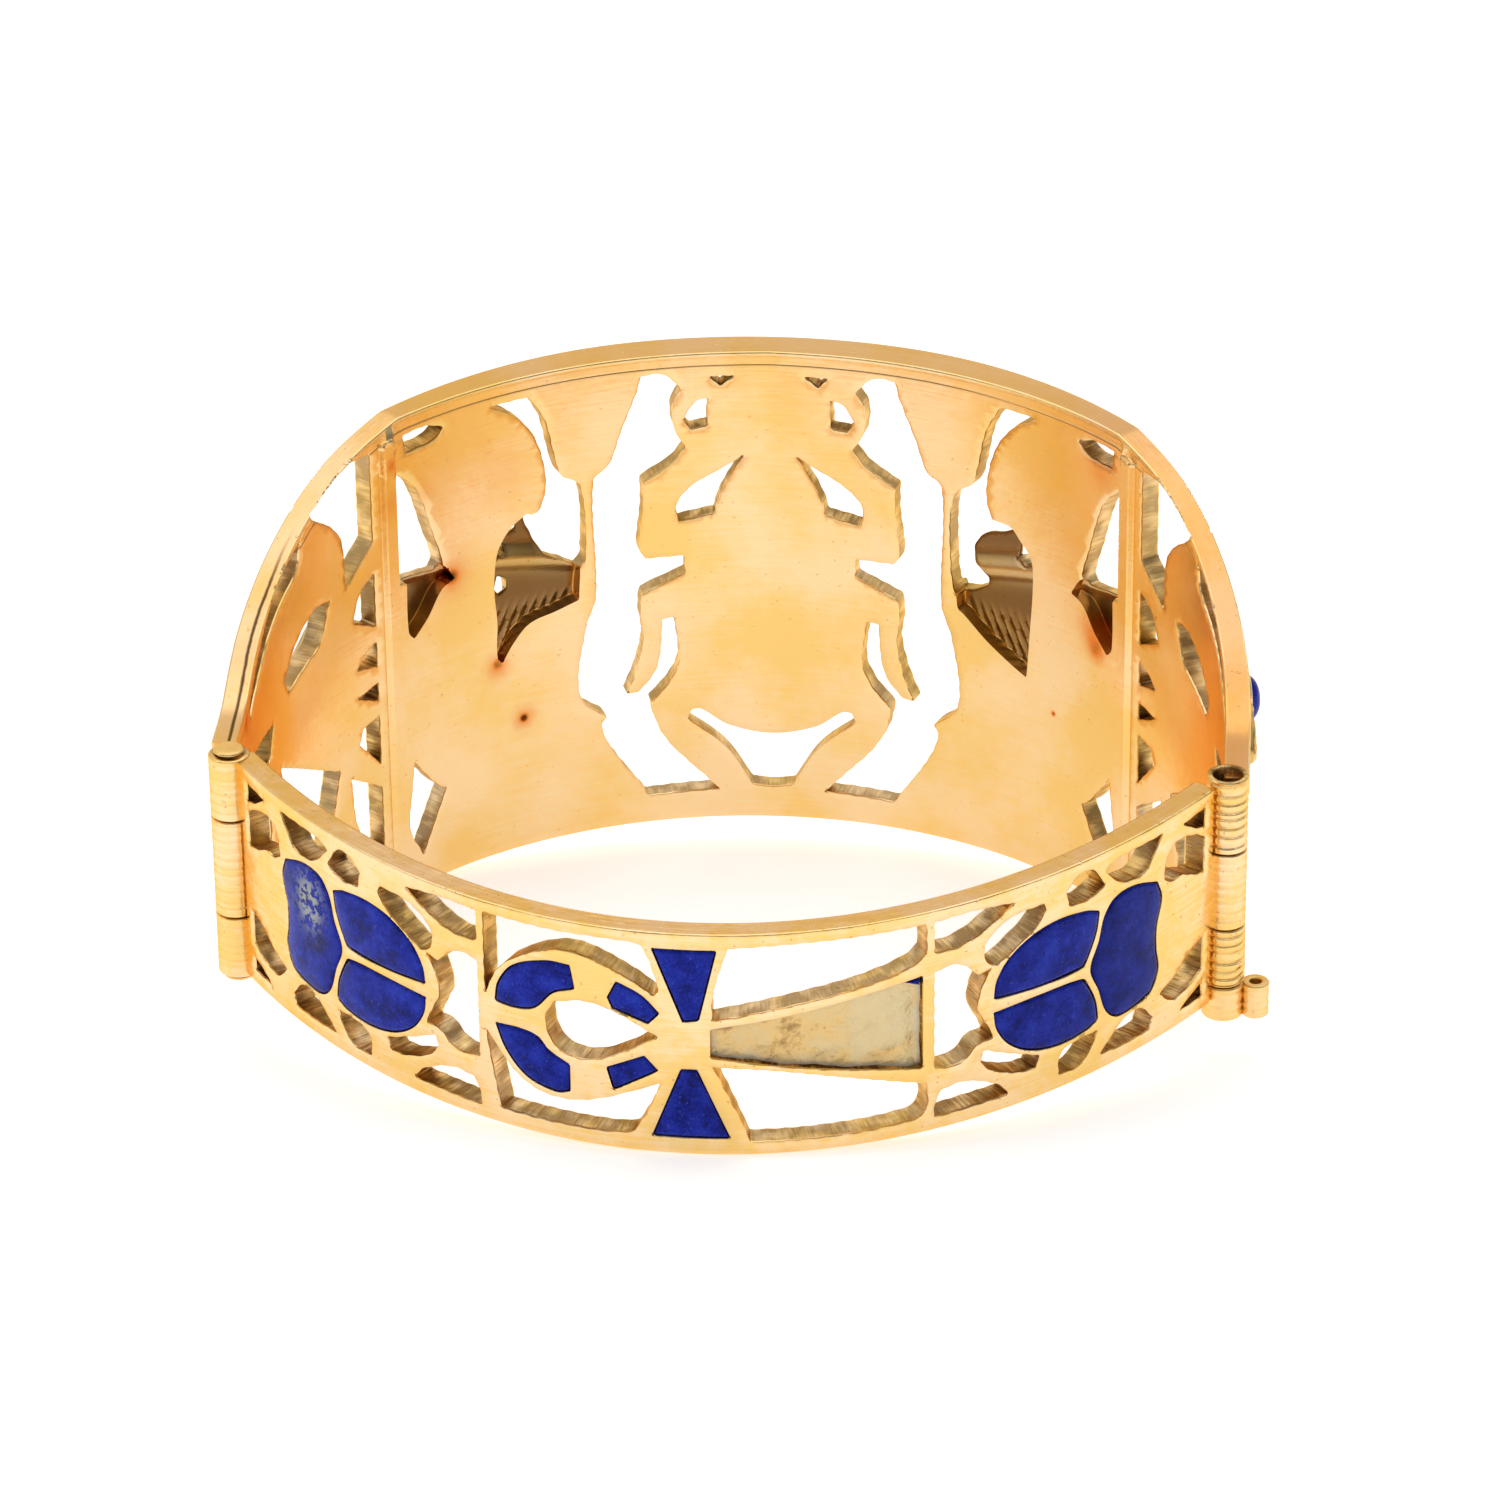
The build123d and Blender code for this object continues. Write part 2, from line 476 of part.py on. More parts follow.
front_clear = [
    tube_piece(-hinge_half, hinge_middle_top, hinge_top + beyond, clear_radius),
    tube_piece(-hinge_half, -hinge_top - beyond, hinge_middle_bottom, clear_radius),
    tube_piece(hinge_half, clasp_lower_joint - knuckle_gap, clasp_upper_joint + knuckle_gap, clear_radius),
    tube_piece(hinge_half, -clasp_top - beyond, clasp_bottom, clear_radius),
]
front_knuckles = [
    tube_piece(-hinge_half, hinge_middle_bottom, hinge_middle_top, tube_radius),
    tube_piece(hinge_half, clasp_upper_joint + knuckle_gap, clasp_top, tube_radius),
    tube_piece(hinge_half, clasp_bottom, clasp_lower_joint - knuckle_gap, tube_radius),
]
rail_layer = front_layer(0, front_side_rail_thickness, front_rail_thickness)
plate_layer = front_layer(0, front_thickness, front_thickness)
between_rails = taper_block(front_top_rail, front_bottom_rail)
between_edges = taper_block(0, 0)
with BuildPart() as front_band:
    add(rail_layer)
    add(between_rails, mode=Mode.SUBTRACT)
    add(plate_layer)
    add(relief.part)
    add(front_posts + outer_posts)
    add(cups)
    add(between_edges, mode=Mode.INTERSECT)
    add(front_cuts, mode=Mode.SUBTRACT)
    add(front_pockets + cup_pockets, mode=Mode.SUBTRACT)
    add(front_clear, mode=Mode.SUBTRACT)
    add(front_knuckles)
    add(bores, mode=Mode.SUBTRACT)

pieces["front_band"] = front_band.part
for name, outline in front_stones.items():
    pieces[name] = common(wall_block(front_wall, outline, stone_gap), front_stone_layer)
pieces.update(cabochons)

# The hinge pin, with a low peened head at each end
hinge_pin_end = hinge_top + knuckle_gap
hinge_pin_rods = [
    tube_piece(-hinge_half, -hinge_pin_end, hinge_pin_end, hinge_pin_radius),
    tube_piece(-hinge_half, hinge_pin_end, hinge_pin_end + hinge_head_height, hinge_head_radius),
    tube_piece(-hinge_half, -hinge_pin_end - hinge_head_height, -hinge_pin_end, hinge_head_radius),
]
with BuildPart() as hinge_pin:
    add(hinge_pin_rods)
pieces["hinge_pin"] = hinge_pin.part

# The clasp pin: a shaft with a rounded tip, a head in line with the knuckles, and an ear with an eye
head_top = clasp_bottom - knuckle_gap
head_low = head_top - clasp_head_height
ear_x = hinge_half + tube_radius + ear_radius - tube_gap
clasp_shaft = tube_piece(hinge_half, head_top, clasp_pin_tip, clasp_pin_radius)
clasp_head = [
    tube_piece(hinge_half, head_low, head_top, tube_radius),
    tube_piece(ear_x, head_low, head_top, ear_radius),
]
ear_eye = tube_piece(ear_x, head_low - beyond, head_top + beyond, ear_hole_radius)
with BuildPart() as clasp_pin:
    add(clasp_shaft)
    fillet(clasp_pin.edges().sort_by(Axis.Z)[-1], radius=clasp_pin_radius / 2)
    add(clasp_head)
    add(ear_eye, mode=Mode.SUBTRACT)
pieces["clasp_pin"] = clasp_pin.part

# The resting pose: the bangle leans until the back half's lower edge and the front half's corners touch
lean = max(math.degrees(math.atan2(z - back_half_height, y + back_depth)) for y, z in taper_edge(0))

os.makedirs("parts", exist_ok=True)
leaning = {name: Rotation(lean, 0, 0) * piece for name, piece in pieces.items()}
box = Compound(children=[piece.moved(Location()) for piece in leaning.values()]).bounding_box()
seat = Pos(-box.center().X, -box.center().Y, -box.min.Z)
for name, piece in leaning.items():
    finished = seat * piece
    finished.label = name
    export_step(finished, f"parts/{name}.step")
print("lean", round(lean, 2), "pieces", len(pieces), "size", box.size)
print("moved by", round(-box.center().Y, 3), round(-box.min.Z, 3), "and", round(-box.center().X, 3))
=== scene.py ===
import json
import math

import bpy
import numpy as np
from mathutils import Matrix, Vector
from mathutils.geometry import delaunay_2d_cdt


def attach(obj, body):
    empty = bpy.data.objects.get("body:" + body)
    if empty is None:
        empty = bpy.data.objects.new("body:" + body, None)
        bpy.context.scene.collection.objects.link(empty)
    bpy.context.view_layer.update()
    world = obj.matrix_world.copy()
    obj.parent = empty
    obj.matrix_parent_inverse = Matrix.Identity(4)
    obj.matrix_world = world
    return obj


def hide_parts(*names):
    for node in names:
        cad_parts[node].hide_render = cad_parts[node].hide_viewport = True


bl_info = {
    "name": "Hinged scarab bangle",
    "version": (1, 0, 0),
    "blender": (4, 5, 0),
    "location": "3D View > Sidebar > Bangle",
    "description": "Builds the metal and stones of a hinged bangle round its CAD frame",
    "category": "Add Mesh",
}

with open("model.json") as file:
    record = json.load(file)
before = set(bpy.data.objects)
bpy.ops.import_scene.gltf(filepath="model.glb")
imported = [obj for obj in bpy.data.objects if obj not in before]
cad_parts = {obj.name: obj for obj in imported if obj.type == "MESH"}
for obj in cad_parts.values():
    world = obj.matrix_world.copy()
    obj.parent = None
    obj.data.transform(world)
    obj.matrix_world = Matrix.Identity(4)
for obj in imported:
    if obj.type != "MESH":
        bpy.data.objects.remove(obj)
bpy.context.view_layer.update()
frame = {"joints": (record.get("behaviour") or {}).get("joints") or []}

# The CAD source's sizes, in millimetres, in the bangle's upright frame
HINGE_HALF = 28.85
BACK_DEPTH = 19.45
BACK_END_ANGLE = math.radians(43.6)
BACK_HALF_HEIGHT = 7.1
BACK_THICKNESS = 1.5
BACK_WINDOW_HALF = 12.95
BACK_WINDOW_HEIGHT = 6.4
BACK_SIDE_START = 13.45
BACK_SIDE_LENGTH = 21.1
FRONT_INNER_HALF = 28.6
FRONT_STRAIGHT = 6.6
FRONT_DEPTH = 36.4
FRONT_THICKNESS = 1.35
FRONT_RELIEF = 0.7
FRONT_TOP_RAIL = 1.15
FRONT_BOTTOM_RAIL = 0.8
FRONT_WINDOW_HEIGHT = 15.15
FRONT_POST_AT = 26.0
FRONT_POST_WIDTH = 1.3
SCARAB_HALF = 9.2
FIGURE_START = 11.0
FIGURE_LENGTH = 14.35
SIDE_START = 26.65
SIDE_LENGTH = 19.4
TAPER = [(4.0, 7.1), (6.64, 7.38), (10.82, 9.4), (16.54, 12.34), (22.04, 15.01), (26.0, 16.3)]
POCKET_DEPTH = 0.8
TUBE_RADIUS = 1.22
CLEAR_RADIUS = 1.35
FRONT_END_HALF = 7.1
HINGE_PIN_HALF = 7.5
CLASP_HEAD_TOP = -6.15
CLASP_HEAD_LENGTH = 2.15

# Each plate's ends as (from, to, whether its own knuckle is there)
BACK_RIGHT_ZONES = [(-BACK_HALF_HEIGHT, -2.2, False), (-2.2, 2.7, True), (2.7, BACK_HALF_HEIGHT, False)]
BACK_LEFT_ZONES = [(-BACK_HALF_HEIGHT, -3.25, True), (-3.25, 3.25, False), (3.25, BACK_HALF_HEIGHT, True)]
FRONT_RIGHT_ZONES = [(-6.05, -2.3, True), (-2.3, 2.8, False), (2.8, FRONT_END_HALF, True)]
FRONT_LEFT_ZONES = [(-FRONT_END_HALF, -3.15, False), (-3.15, 3.15, True), (3.15, FRONT_END_HALF, False)]

# Knuckles as (the tube's line, from, to, the bore's radius, the ribs' depth)
BACK_KNUCKLES = [(-HINGE_HALF, 3.25, 7.2, 0.78, 0.03), (-HINGE_HALF, -7.2, -3.25, 0.78, 0.03),
                 (HINGE_HALF, -2.2, 2.7, 0.78, 0.05)]
FRONT_KNUCKLES = [(-HINGE_HALF, -3.15, 3.15, 0.78, 0.04), (HINGE_HALF, 2.8, 7.5, 0.88, 0.11),
                  (HINGE_HALF, -6.05, -2.3, 0.88, 0.11)]

# The finish: millimetres in a metre, widths in millimetres, and shares from 0 to 1
MM = 1000.0
LINE_WIDTH = 0.14
COLLAR_AT = (8.6, 6.8)
FIELD_ROWS = (-0.03, 0.05, 0.13, 0.22)
SAME_PLACE = 0.02
NO_SEAM = 9.0
RIM_TINT = 0.11
WALL_DARK = 0.56
WINDOW_SHADE_AREA = 8.0
# Painted shade on the back band's right-hand stones, which are darkened towards deep blue
RIGHT_STONES_PAINTED_SHADE = {"back_right_pronotum": 0.4, "back_right_elytron_upper": 0.15,
                "back_right_elytron_lower": 0.15}

# The stage, in metres: what camera and lights look at, where the room is bright, and the floor's bend
CAMERA_TARGET = Vector((0.0014, 0, 0.00825))
LIGHT_AIM = Vector((0, 0, 0.01))
BRIGHT_WAY = (-0.30, 0.76, 0.58)
FLOOR_BEND_AT = 0.9
FLOOR_BEND_RADIUS = 1.1

# Outlines as shares of the panel that they lie in, as in the CAD source
ANKH_WINDOWS = [
    [(-1.00, 1.00), (-0.67, 0.99), (-0.30, 0.99), (-0.25, 0.94), (-0.18, 0.53), (-0.21, 0.48),
     (-0.31, 0.62), (-0.49, 0.78), (-0.63, 0.81), (-0.81, 0.67), (-0.93, 0.47), (-1.00, 0.19)],
    [(0.12, 0.97), (0.43, 0.99), (1.00, 0.99), (1.00, 0.70), (0.94, 0.61), (0.74, 0.50),
     (0.42, 0.39), (0.05, 0.25), (0.05, 0.45), (0.08, 0.72)],
    [(-1.00, -0.19), (-0.97, -0.55), (-0.93, -0.95), (-0.41, -0.95), (-0.30, -0.92), (-0.23, -0.67),
     (-0.18, -0.41), (-0.31, -0.52), (-0.46, -0.64), (-0.60, -0.70), (-0.74, -0.67), (-0.86, -0.53),
     (-0.95, -0.31)],
    [(0.05, -0.22), (0.13, -0.59), (0.21, -0.98), (0.51, -0.98), (0.95, -0.95), (1.00, -0.87),
     (1.00, -0.62), (0.65, -0.42), (0.34, -0.28)],
    [(-0.70, 0.09), (-0.66, -0.16), (-0.56, -0.25), (-0.42, -0.20), (-0.19, 0.06), (-0.36, 0.25),
     (-0.51, 0.33), (-0.66, 0.27)],
]
ANKH_STONES = {
    "ankh_loop_1": [(-0.95, 0.14), (-0.93, 0.34), (-0.85, 0.55), (-0.69, 0.67), (-0.58, 0.67),
                    (-0.56, 0.44), (-0.66, 0.36), (-0.75, 0.17), (-0.85, 0.12)],
    "ankh_loop_2": [(-0.95, -0.09), (-0.83, -0.08), (-0.74, -0.12), (-0.69, -0.23), (-0.59, -0.34),
                    (-0.59, -0.61), (-0.66, -0.64), (-0.80, -0.55), (-0.90, -0.33)],
    "ankh_loop_3": [(-0.37, 0.58), (-0.26, 0.47), (-0.18, 0.30), (-0.23, 0.19), (-0.39, 0.31),
                    (-0.41, 0.41)],
    "ankh_loop_4": [(-0.42, -0.30), (-0.25, -0.14), (-0.19, -0.28), (-0.39, -0.52)],
    "ankh_arm_upper": [(-0.21, 0.95), (0.07, 0.95), (-0.01, 0.25), (-0.08, 0.23)],
    "ankh_arm_lower": [(-0.09, -0.25), (-0.02, -0.25), (0.12, -0.94), (-0.22, -0.94)],
}
ANKH_STEM = [(0.04, 0.16), (0.39, 0.28), (0.78, 0.42), (0.98, 0.48), (0.98, -0.45), (0.65, -0.33),
             (0.04, -0.12)]
ANKH_CHIP = [(0.88, 0.445), (0.975, 0.465), (0.975, 0.37)]
BACK_SIDE_WINDOWS = [
    [(0.00, 0.99), (0.12, 1.00), (0.24, 0.96), (0.20, 0.87), (0.13, 0.75), (0.07, 0.69), (0.00, 0.69)],
    [(0.15, 0.56), (0.16, 0.66), (0.20, 0.77), (0.25, 0.83), (0.34, 0.84), (0.35, 0.77), (0.31, 0.62),
     (0.24, 0.48), (0.19, 0.39), (0.16, 0.44)],
    [(0.42, 0.87), (0.46, 0.98), (0.51, 0.98), (0.56, 0.77), (0.50, 0.70), (0.43, 0.72)],
    [(0.56, 0.91), (0.60, 0.97), (0.79, 0.98), (0.76, 0.84), (0.72, 0.70), (0.64, 0.70), (0.60, 0.77)],
    [(0.88, 0.95), (0.98, 0.98), (0.98, 0.79), (0.94, 0.83)],
    [(0.80, 0.50), (0.81, 0.69), (0.85, 0.81), (0.93, 0.77), (0.98, 0.68), (0.98, 0.33), (0.93, 0.37),
     (0.87, 0.45), (0.83, 0.44)],
    [(0.00, 0.48), (0.05, 0.52), (0.10, 0.45), (0.13, 0.34), (0.17, 0.37), (0.14, 0.19), (0.13, 0.00),
     (0.15, -0.14), (0.18, -0.33), (0.13, -0.36), (0.10, -0.45), (0.06, -0.50), (0.00, -0.48)],
    [(0.15, -0.44), (0.21, -0.53), (0.33, -0.69), (0.32, -0.80), (0.26, -0.78), (0.17, -0.66),
     (0.14, -0.55)],
    [(0.40, -0.81), (0.42, -0.73), (0.49, -0.69), (0.54, -0.70), (0.51, -0.87), (0.47, -0.97),
     (0.40, -0.97)],
    [(0.55, -0.95), (0.60, -0.81), (0.65, -0.70), (0.71, -0.70), (0.76, -0.87), (0.75, -0.97),
     (0.64, -0.97)],
    [(0.79, -0.66), (0.86, -0.56), (0.92, -0.42), (0.98, -0.35), (0.98, -0.68), (0.92, -0.77),
     (0.84, -0.80)],
    [(0.88, -0.97), (0.93, -0.89), (0.98, -0.83), (0.98, -0.97)],
    [(0.00, -0.87), (0.02, -0.72), (0.09, -0.70), (0.19, -0.83), (0.23, -0.97), (0.13, -0.97),
     (0.00, -0.98)],
]
BACK_SIDE_STONES = {
    "elytron_upper": [(0.18, 0.05), (0.19, 0.23), (0.23, 0.42), (0.30, 0.56), (0.39, 0.62), (0.49, 0.59),
                      (0.54, 0.53), (0.53, 0.33), (0.50, 0.11), (0.48, 0.03), (0.33, 0.02)],
    "elytron_lower": [(0.18, -0.09), (0.33, -0.07), (0.48, -0.09), (0.50, -0.17), (0.53, -0.38),
                      (0.54, -0.58),
                      (0.49, -0.64), (0.39, -0.66), (0.30, -0.60), (0.23, -0.46), (0.19, -0.27)],
    "pronotum": [(0.56, 0.45), (0.60, 0.59), (0.68, 0.61), (0.77, 0.52), (0.79, 0.33), (0.77, 0.06),
                 (0.77, -0.17), (0.78, -0.39), (0.75, -0.58), (0.68, -0.64), (0.61, -0.64), (0.57, -0.53),
                 (0.54, -0.27), (0.51, -0.03), (0.54, 0.22)],
}
SCARAB_WINDOWS = [
    [(0.71, 0.99), (0.59, 0.92), (0.65, 0.85), (0.64, 0.74), (0.57, 0.66), (0.64, 0.60), (0.73, 0.56),
     (0.86, 0.51), (0.86, 0.39), (0.89, 0.20), (0.85, 0.16), (0.58, 0.16), (0.58, 0.08), (0.88, 0.00),
     (0.89, -0.09), (0.87, -0.20), (0.92, -0.34), (1.00, -0.46), (0.91, -0.45), (0.78, -0.34),
     (0.74, -0.13),
     (0.66, -0.12), (0.63, -0.32), (0.70, -0.42), (0.83, -0.51), (0.79, -0.62), (0.70, -0.72),
     (0.48, -0.87),
     (0.37, -0.94), (0.86, -0.95), (1.10, -0.72), (1.18, -0.59), (1.14, -0.55), (1.33, -0.43),
     (1.28, -0.13),
     (1.20, 0.02), (1.20, 0.55), (1.09, 0.61), (1.01, 0.74), (0.89, 0.92), (0.86, 0.99)],
    [(0.42, 0.75), (0.53, 0.74), (0.58, 0.78), (0.49, 0.86), (0.41, 0.87)],
    [(0.18, 0.61), (0.27, 0.57), (0.52, 0.48), (0.63, 0.40), (0.62, 0.32), (0.38, 0.35), (0.34, 0.43),
     (0.24, 0.55)],
    [(0.24, 0.97), (0.40, 0.97), (0.33, 0.93)],
]
SCARAB_TAIL = [(0.00, -0.68), (0.30, -0.64), (0.49, -0.56), (0.55, -0.56), (0.58, -0.60), (0.32, -0.74),
               (0.14, -0.92), (0.00, -0.93)]
SCARAB_BODY = [(0.00, -0.66), (0.29, -0.62), (0.52, -0.51), (0.59, -0.32), (0.61, -0.12), (0.54, 0.08),
               (0.53, 0.16), (0.36, 0.33), (0.31, 0.44), (0.17, 0.61), (0.33, 0.67), (0.36, 0.90),
               (0.00, 0.94)]
FRONT_PRONOTUM = [(-0.12, 0.56), (0.12, 0.56), (0.26, 0.42), (0.31, 0.32), (-0.31, 0.32), (-0.26, 0.42)]
FRONT_ELYTRON = [(0.03, 0.26), (0.38, 0.26), (0.47, 0.12), (0.53, -0.11), (0.51, -0.32), (0.43, -0.49),
                 (0.25, -0.58), (0.03, -0.62)]
FACE_LINE = [(0.05, 0.20), (0.06, 0.53), (0.15, 0.60), (0.18, 0.69), (0.22, 0.86), (0.29, 0.98),
             (0.48, 0.98),
             (0.37, 0.92), (0.27, 0.80), (0.22, 0.60), (0.25, 0.47)]
HAND_LINES = {-1: [(0.31, 0.43), (0.27, 0.33), (0.22, 0.24), (0.15, 0.205), (0.08, 0.16)],
              1: [(0.33, 0.42), (0.27, 0.39), (0.18, 0.36), (0.13, 0.30), (0.14, 0.24), (0.20, 0.19),
                  (0.20, 0.13),
                  (0.13, 0.09), (0.07, 0.08)]}
FIGURE_WINDOWS = [
    [(0.94, 0.99), (0.81, 0.99), (0.72, 0.96), (0.77, 0.92), (0.93, 0.91)],
    [(0.99, 0.84), (0.88, 0.74), (0.79, 0.49), (0.75, 0.36), (0.77, 0.32), (0.99, 0.34)],
    [(0.94, -0.49), (0.82, -0.64), (0.77, -0.68), (0.91, -0.94), (0.98, -0.79), (0.96, -0.62)],
]
ARM_HOLES = {-1: [[(0.34, 0.40), (0.39, 0.40), (0.385, 0.36), (0.34, 0.37)],
                  [(0.41, 0.325), (0.45, 0.315), (0.445, 0.275), (0.405, 0.285)],
                  [(0.43, 0.175), (0.445, 0.12), (0.425, 0.09), (0.39, 0.11), (0.385, 0.15)]],
             1: [[(0.36, 0.36), (0.42, 0.35), (0.44, 0.30), (0.40, 0.275), (0.35, 0.30)]]}
FIGURE_HEAD = [(0.46, 0.94), (0.34, 0.84), (0.27, 0.70), (0.26, 0.56), (0.33, 0.46), (0.50, 0.38),
               (0.71, 0.36),
               (0.74, 0.52), (0.82, 0.72), (0.76, 0.87), (0.62, 0.94)]
FIGURE_BODY = [(0.50, 0.30), (0.74, 0.28), (0.90, 0.06), (0.86, -0.22), (0.92, -0.42), (0.76, -0.62),
               (0.66, -0.80), (0.26, -0.82), (0.18, -0.60), (0.26, -0.44), (0.50, -0.34), (0.50, -0.04)]
FIGURE_ARM = [(0.34, 0.30), (0.46, 0.33), (0.50, 0.14), (0.28, 0.06), (0.08, 0.00), (0.03, 0.06),
              (0.08, 0.14)]
LOTUS = [(0.00, 0.56), (0.06, 0.59), (0.13, 0.66), (0.17, 0.80), (0.22, 0.93), (0.04, 0.96),
         (-0.14, 0.94),
         (-0.10, 0.78), (-0.06, 0.64)]
ARM_WELLS = {-1: [(0.085, 0.02), (0.19, -0.01), (0.32, -0.04), (0.40, -0.11), (0.46, -0.19),
                  (0.48, -0.15), (0.475, 0.00),
                  (0.485, 0.14), (0.48, 0.24), (0.46, 0.33), (0.40, 0.41), (0.32, 0.46), (0.18, 0.40),
                  (0.085, 0.24)],
             1: [(0.085, 0.03), (0.12, 0.00), (0.23, -0.09), (0.35, -0.16), (0.44, -0.20),
                 (0.455, 0.00), (0.47, 0.23),
                 (0.46, 0.34), (0.40, 0.41), (0.34, 0.46), (0.10, 0.46), (0.085, 0.24)]}
BACK_WELL = [(0.69, 0.27), (0.76, 0.35), (0.95, 0.36), (0.95, 0.11), (0.92, 0.07), (0.84, 0.14),
             (0.76, 0.24)]
FRONT_SIDE_WINDOWS = [
    [(0.04, 0.98), (0.04, 0.59), (0.18, 0.45), (0.19, 0.67), (0.24, 0.76), (0.34, 0.85), (0.36, 0.88),
     (0.15, 0.98)],
    [(0.04, 0.45), (0.04, 0.21), (0.15, 0.28), (0.11, 0.39)],
    [(0.04, 0.14), (0.04, 0.03), (0.14, 0.06), (0.09, 0.11)],
    [(0.04, -0.05), (0.04, -0.13), (0.14, -0.07)],
    [(0.04, -0.20), (0.04, -0.42), (0.14, -0.28), (0.12, -0.22)],
    [(0.04, -0.53), (0.04, -0.83), (0.16, -0.66), (0.19, -0.41)],
    [(0.25, -0.34), (0.64, -0.07), (0.56, -0.46), (0.35, -0.76)],
    [(0.27, 0.45), (0.35, 0.46), (0.48, 0.39), (0.58, 0.28), (0.55, 0.21), (0.41, 0.26), (0.33, 0.30)],
    [(0.43, 0.80), (0.46, 0.70), (0.59, 0.62), (0.70, 0.55), (0.82, 0.45), (0.96, 0.37), (0.96, 0.42),
     (0.79, 0.55), (0.67, 0.66), (0.54, 0.75)],
    [(0.69, 0.16), (0.94, 0.18), (0.96, 0.05), (0.74, 0.03)],
    [(0.72, -0.07), (0.96, -0.05), (0.95, -0.25), (0.75, -0.36)],
]
FALCON = [(0.22, 0.58), (0.24, 0.70), (0.31, 0.78), (0.38, 0.76), (0.42, 0.64), (0.58, 0.54),
          (0.74, 0.44),
          (0.90, 0.32), (0.92, 0.24), (0.62, 0.22), (0.46, 0.48), (0.30, 0.50), (0.26, 0.32),
          (0.40, 0.20),
          (0.60, 0.14), (0.62, 0.04), (0.40, -0.08), (0.24, -0.24), (0.20, 0.00), (0.19, 0.30)]
CABOCHON_ALONG = 39.65
CABOCHON_UP = 5.45

# Lines carved in the outer face, in millimetres from their panel's start and up
WIG_EDGE = [(6.9, 5.4), (6.7, 7.2), (6.9, 8.6), (6.5, 9.8), (6.6, 11.0), (6.1, 12.0), (5.2, 12.7),
            (4.4, 13.3)]
FIGURE_LINES = [
    WIG_EDGE, [(4.0, 10.35), (4.4, 10.75), (5.0, 10.8), (5.9, 10.35)],
              [(4.0, 10.35), (4.6, 10.1), (5.2, 10.1), (5.9, 10.35)],
    [(4.7, 10.35), (4.95, 10.5), (5.0, 10.3), (4.75, 10.2)],
    [(3.9, 11.3), (4.6, 11.6), (5.4, 11.5), (6.1, 11.1)],
    [(3.7, 9.0), (4.1, 8.8), (4.3, 9.2)], [(3.8, 8.1), (4.3, 8.2), (4.7, 8.0)],
    [(4.2, 6.9), (5.2, 7.1), (6.2, 8.3)],
    [(1.7, 2.2), (2.4, 0.5)], [(2.1, 2.5), (2.8, 0.8)], [(5.2, 4.6), (6.4, 1.8)],
    [(7.4, -3.6), (13.0, -3.3)],
    [(7.2, -4.3), (13.2, -4.0)], [(0.6, 8.7), (-0.4, 11.4), (-1.4, 14.2)],
    [(0.7, 8.7), (0.1, 11.6), (-0.4, 14.3)],
    [(0.8, 8.7), (0.7, 11.6), (0.6, 14.4)], [(0.9, 8.8), (1.3, 11.6), (1.6, 14.3)],
    [(1.0, 8.9), (1.9, 11.4), (2.6, 14.1)],
]
FALCON_LINES = [
    [(5.6, 10.4), (6.0, 10.8), (6.5, 10.6), (6.4, 10.1), (5.9, 10.0), (5.6, 10.4)],
    [(4.5, 10.2), (5.2, 9.7), (5.0, 9.1)],
    [(5.2, 8.4), (7.0, 8.6), (8.2, 8.2)],
]
SCARAB_LINES = [[(0.0, 9.0), (0.0, 11.0)], [(0.0, 11.6), (1.2, 11.4), (2.2, 10.6), (2.9, 9.8)],
                [(1.1, 12.6), (1.5, 13.1), (2.1, 12.9), (1.8, 12.3)],
                [(0.0, 13.6), (1.4, 13.5), (2.6, 13.0)]]
HEAT_SPOTS = [(-21.1, 4.25, 0.42, 0.8), (-21.1, 4.25, 1.3, 0.3), (-17.91, -2.82, 0.3, 0.6),
              (-17.9, -3.1, 0.8, 0.35),
              (-16.17, -7.13, 0.24, 1.0), (-16.17, -7.13, 0.7, 0.35),
              (19.54, -4.82, 0.16, 0.9), (22.75, 2.2, 1.0, 0.42), (23.2, 1.0, 0.7, 0.6),
              (23.4, 13.3, 1.2, 0.22),
              (-23.6, 10.4, 0.9, 0.2), (-47.0, 6.2, 0.6, 0.7), (-17.3, 10.2, 2.4, 0.1),
              (-25.9, 13.6, 0.5, 0.4),
              (-25.9, 11.0, 1.0, 0.15)]

ANKH_PANEL = (0.0, BACK_WINDOW_HALF, BACK_WINDOW_HEIGHT)
SCARAB_PANEL = (0.0, SCARAB_HALF, FRONT_WINDOW_HEIGHT)


# Places

def bangle_place():
    """The turn and shift from the upright frame to the resting frame, read off the hinge's axis and
    place."""
    hinge = next(j for j in frame["joints"] if j["name"] == "hinge")
    _, sine, minus_cosine = hinge["axis"]
    lean = math.atan2(sine, -minus_cosine)
    turn = Matrix.Rotation(lean, 3, "X")
    shift = Vector(hinge["pos_m"]) - turn @ Vector((-HINGE_HALF / 1000, 0, 0))
    return turn, shift


TURN, SHIFT = bangle_place()


def to_rest(upright):
    """Upright millimetres to resting metres: turned about X, then shifted."""
    return upright / 1000 @ np.array(TURN).T + np.array(SHIFT)


def wall_line(x, y, outward):
    """A wall seen from above as a table: distance along from the middle, place, and the direction
    outwards, which is the line's own direction turned a quarter to one side."""
    s = np.concatenate(([0.0], np.cumsum(np.hypot(np.diff(x), np.diff(y)))))
    s -= s[-1] / 2
    tx, ty = np.gradient(x, s), np.gradient(y, s)
    size = np.hypot(tx, ty)
    return {"s": s, "x": x, "y": y, "nx": -outward * ty / size, "ny": outward * tx / size}


def lift(line, place):
    """Places (along, up, out) on a wall to upright millimetres: the line's place at that distance, plus
    the height outwards along its direction outwards."""
    s, z, h = place.T
    at = {k: np.interp(s, line["s"], line[k]) for k in ("x", "y", "nx", "ny")}
    return np.column_stack((at["x"] + h * at["nx"], at["y"] + h * at["ny"], z))


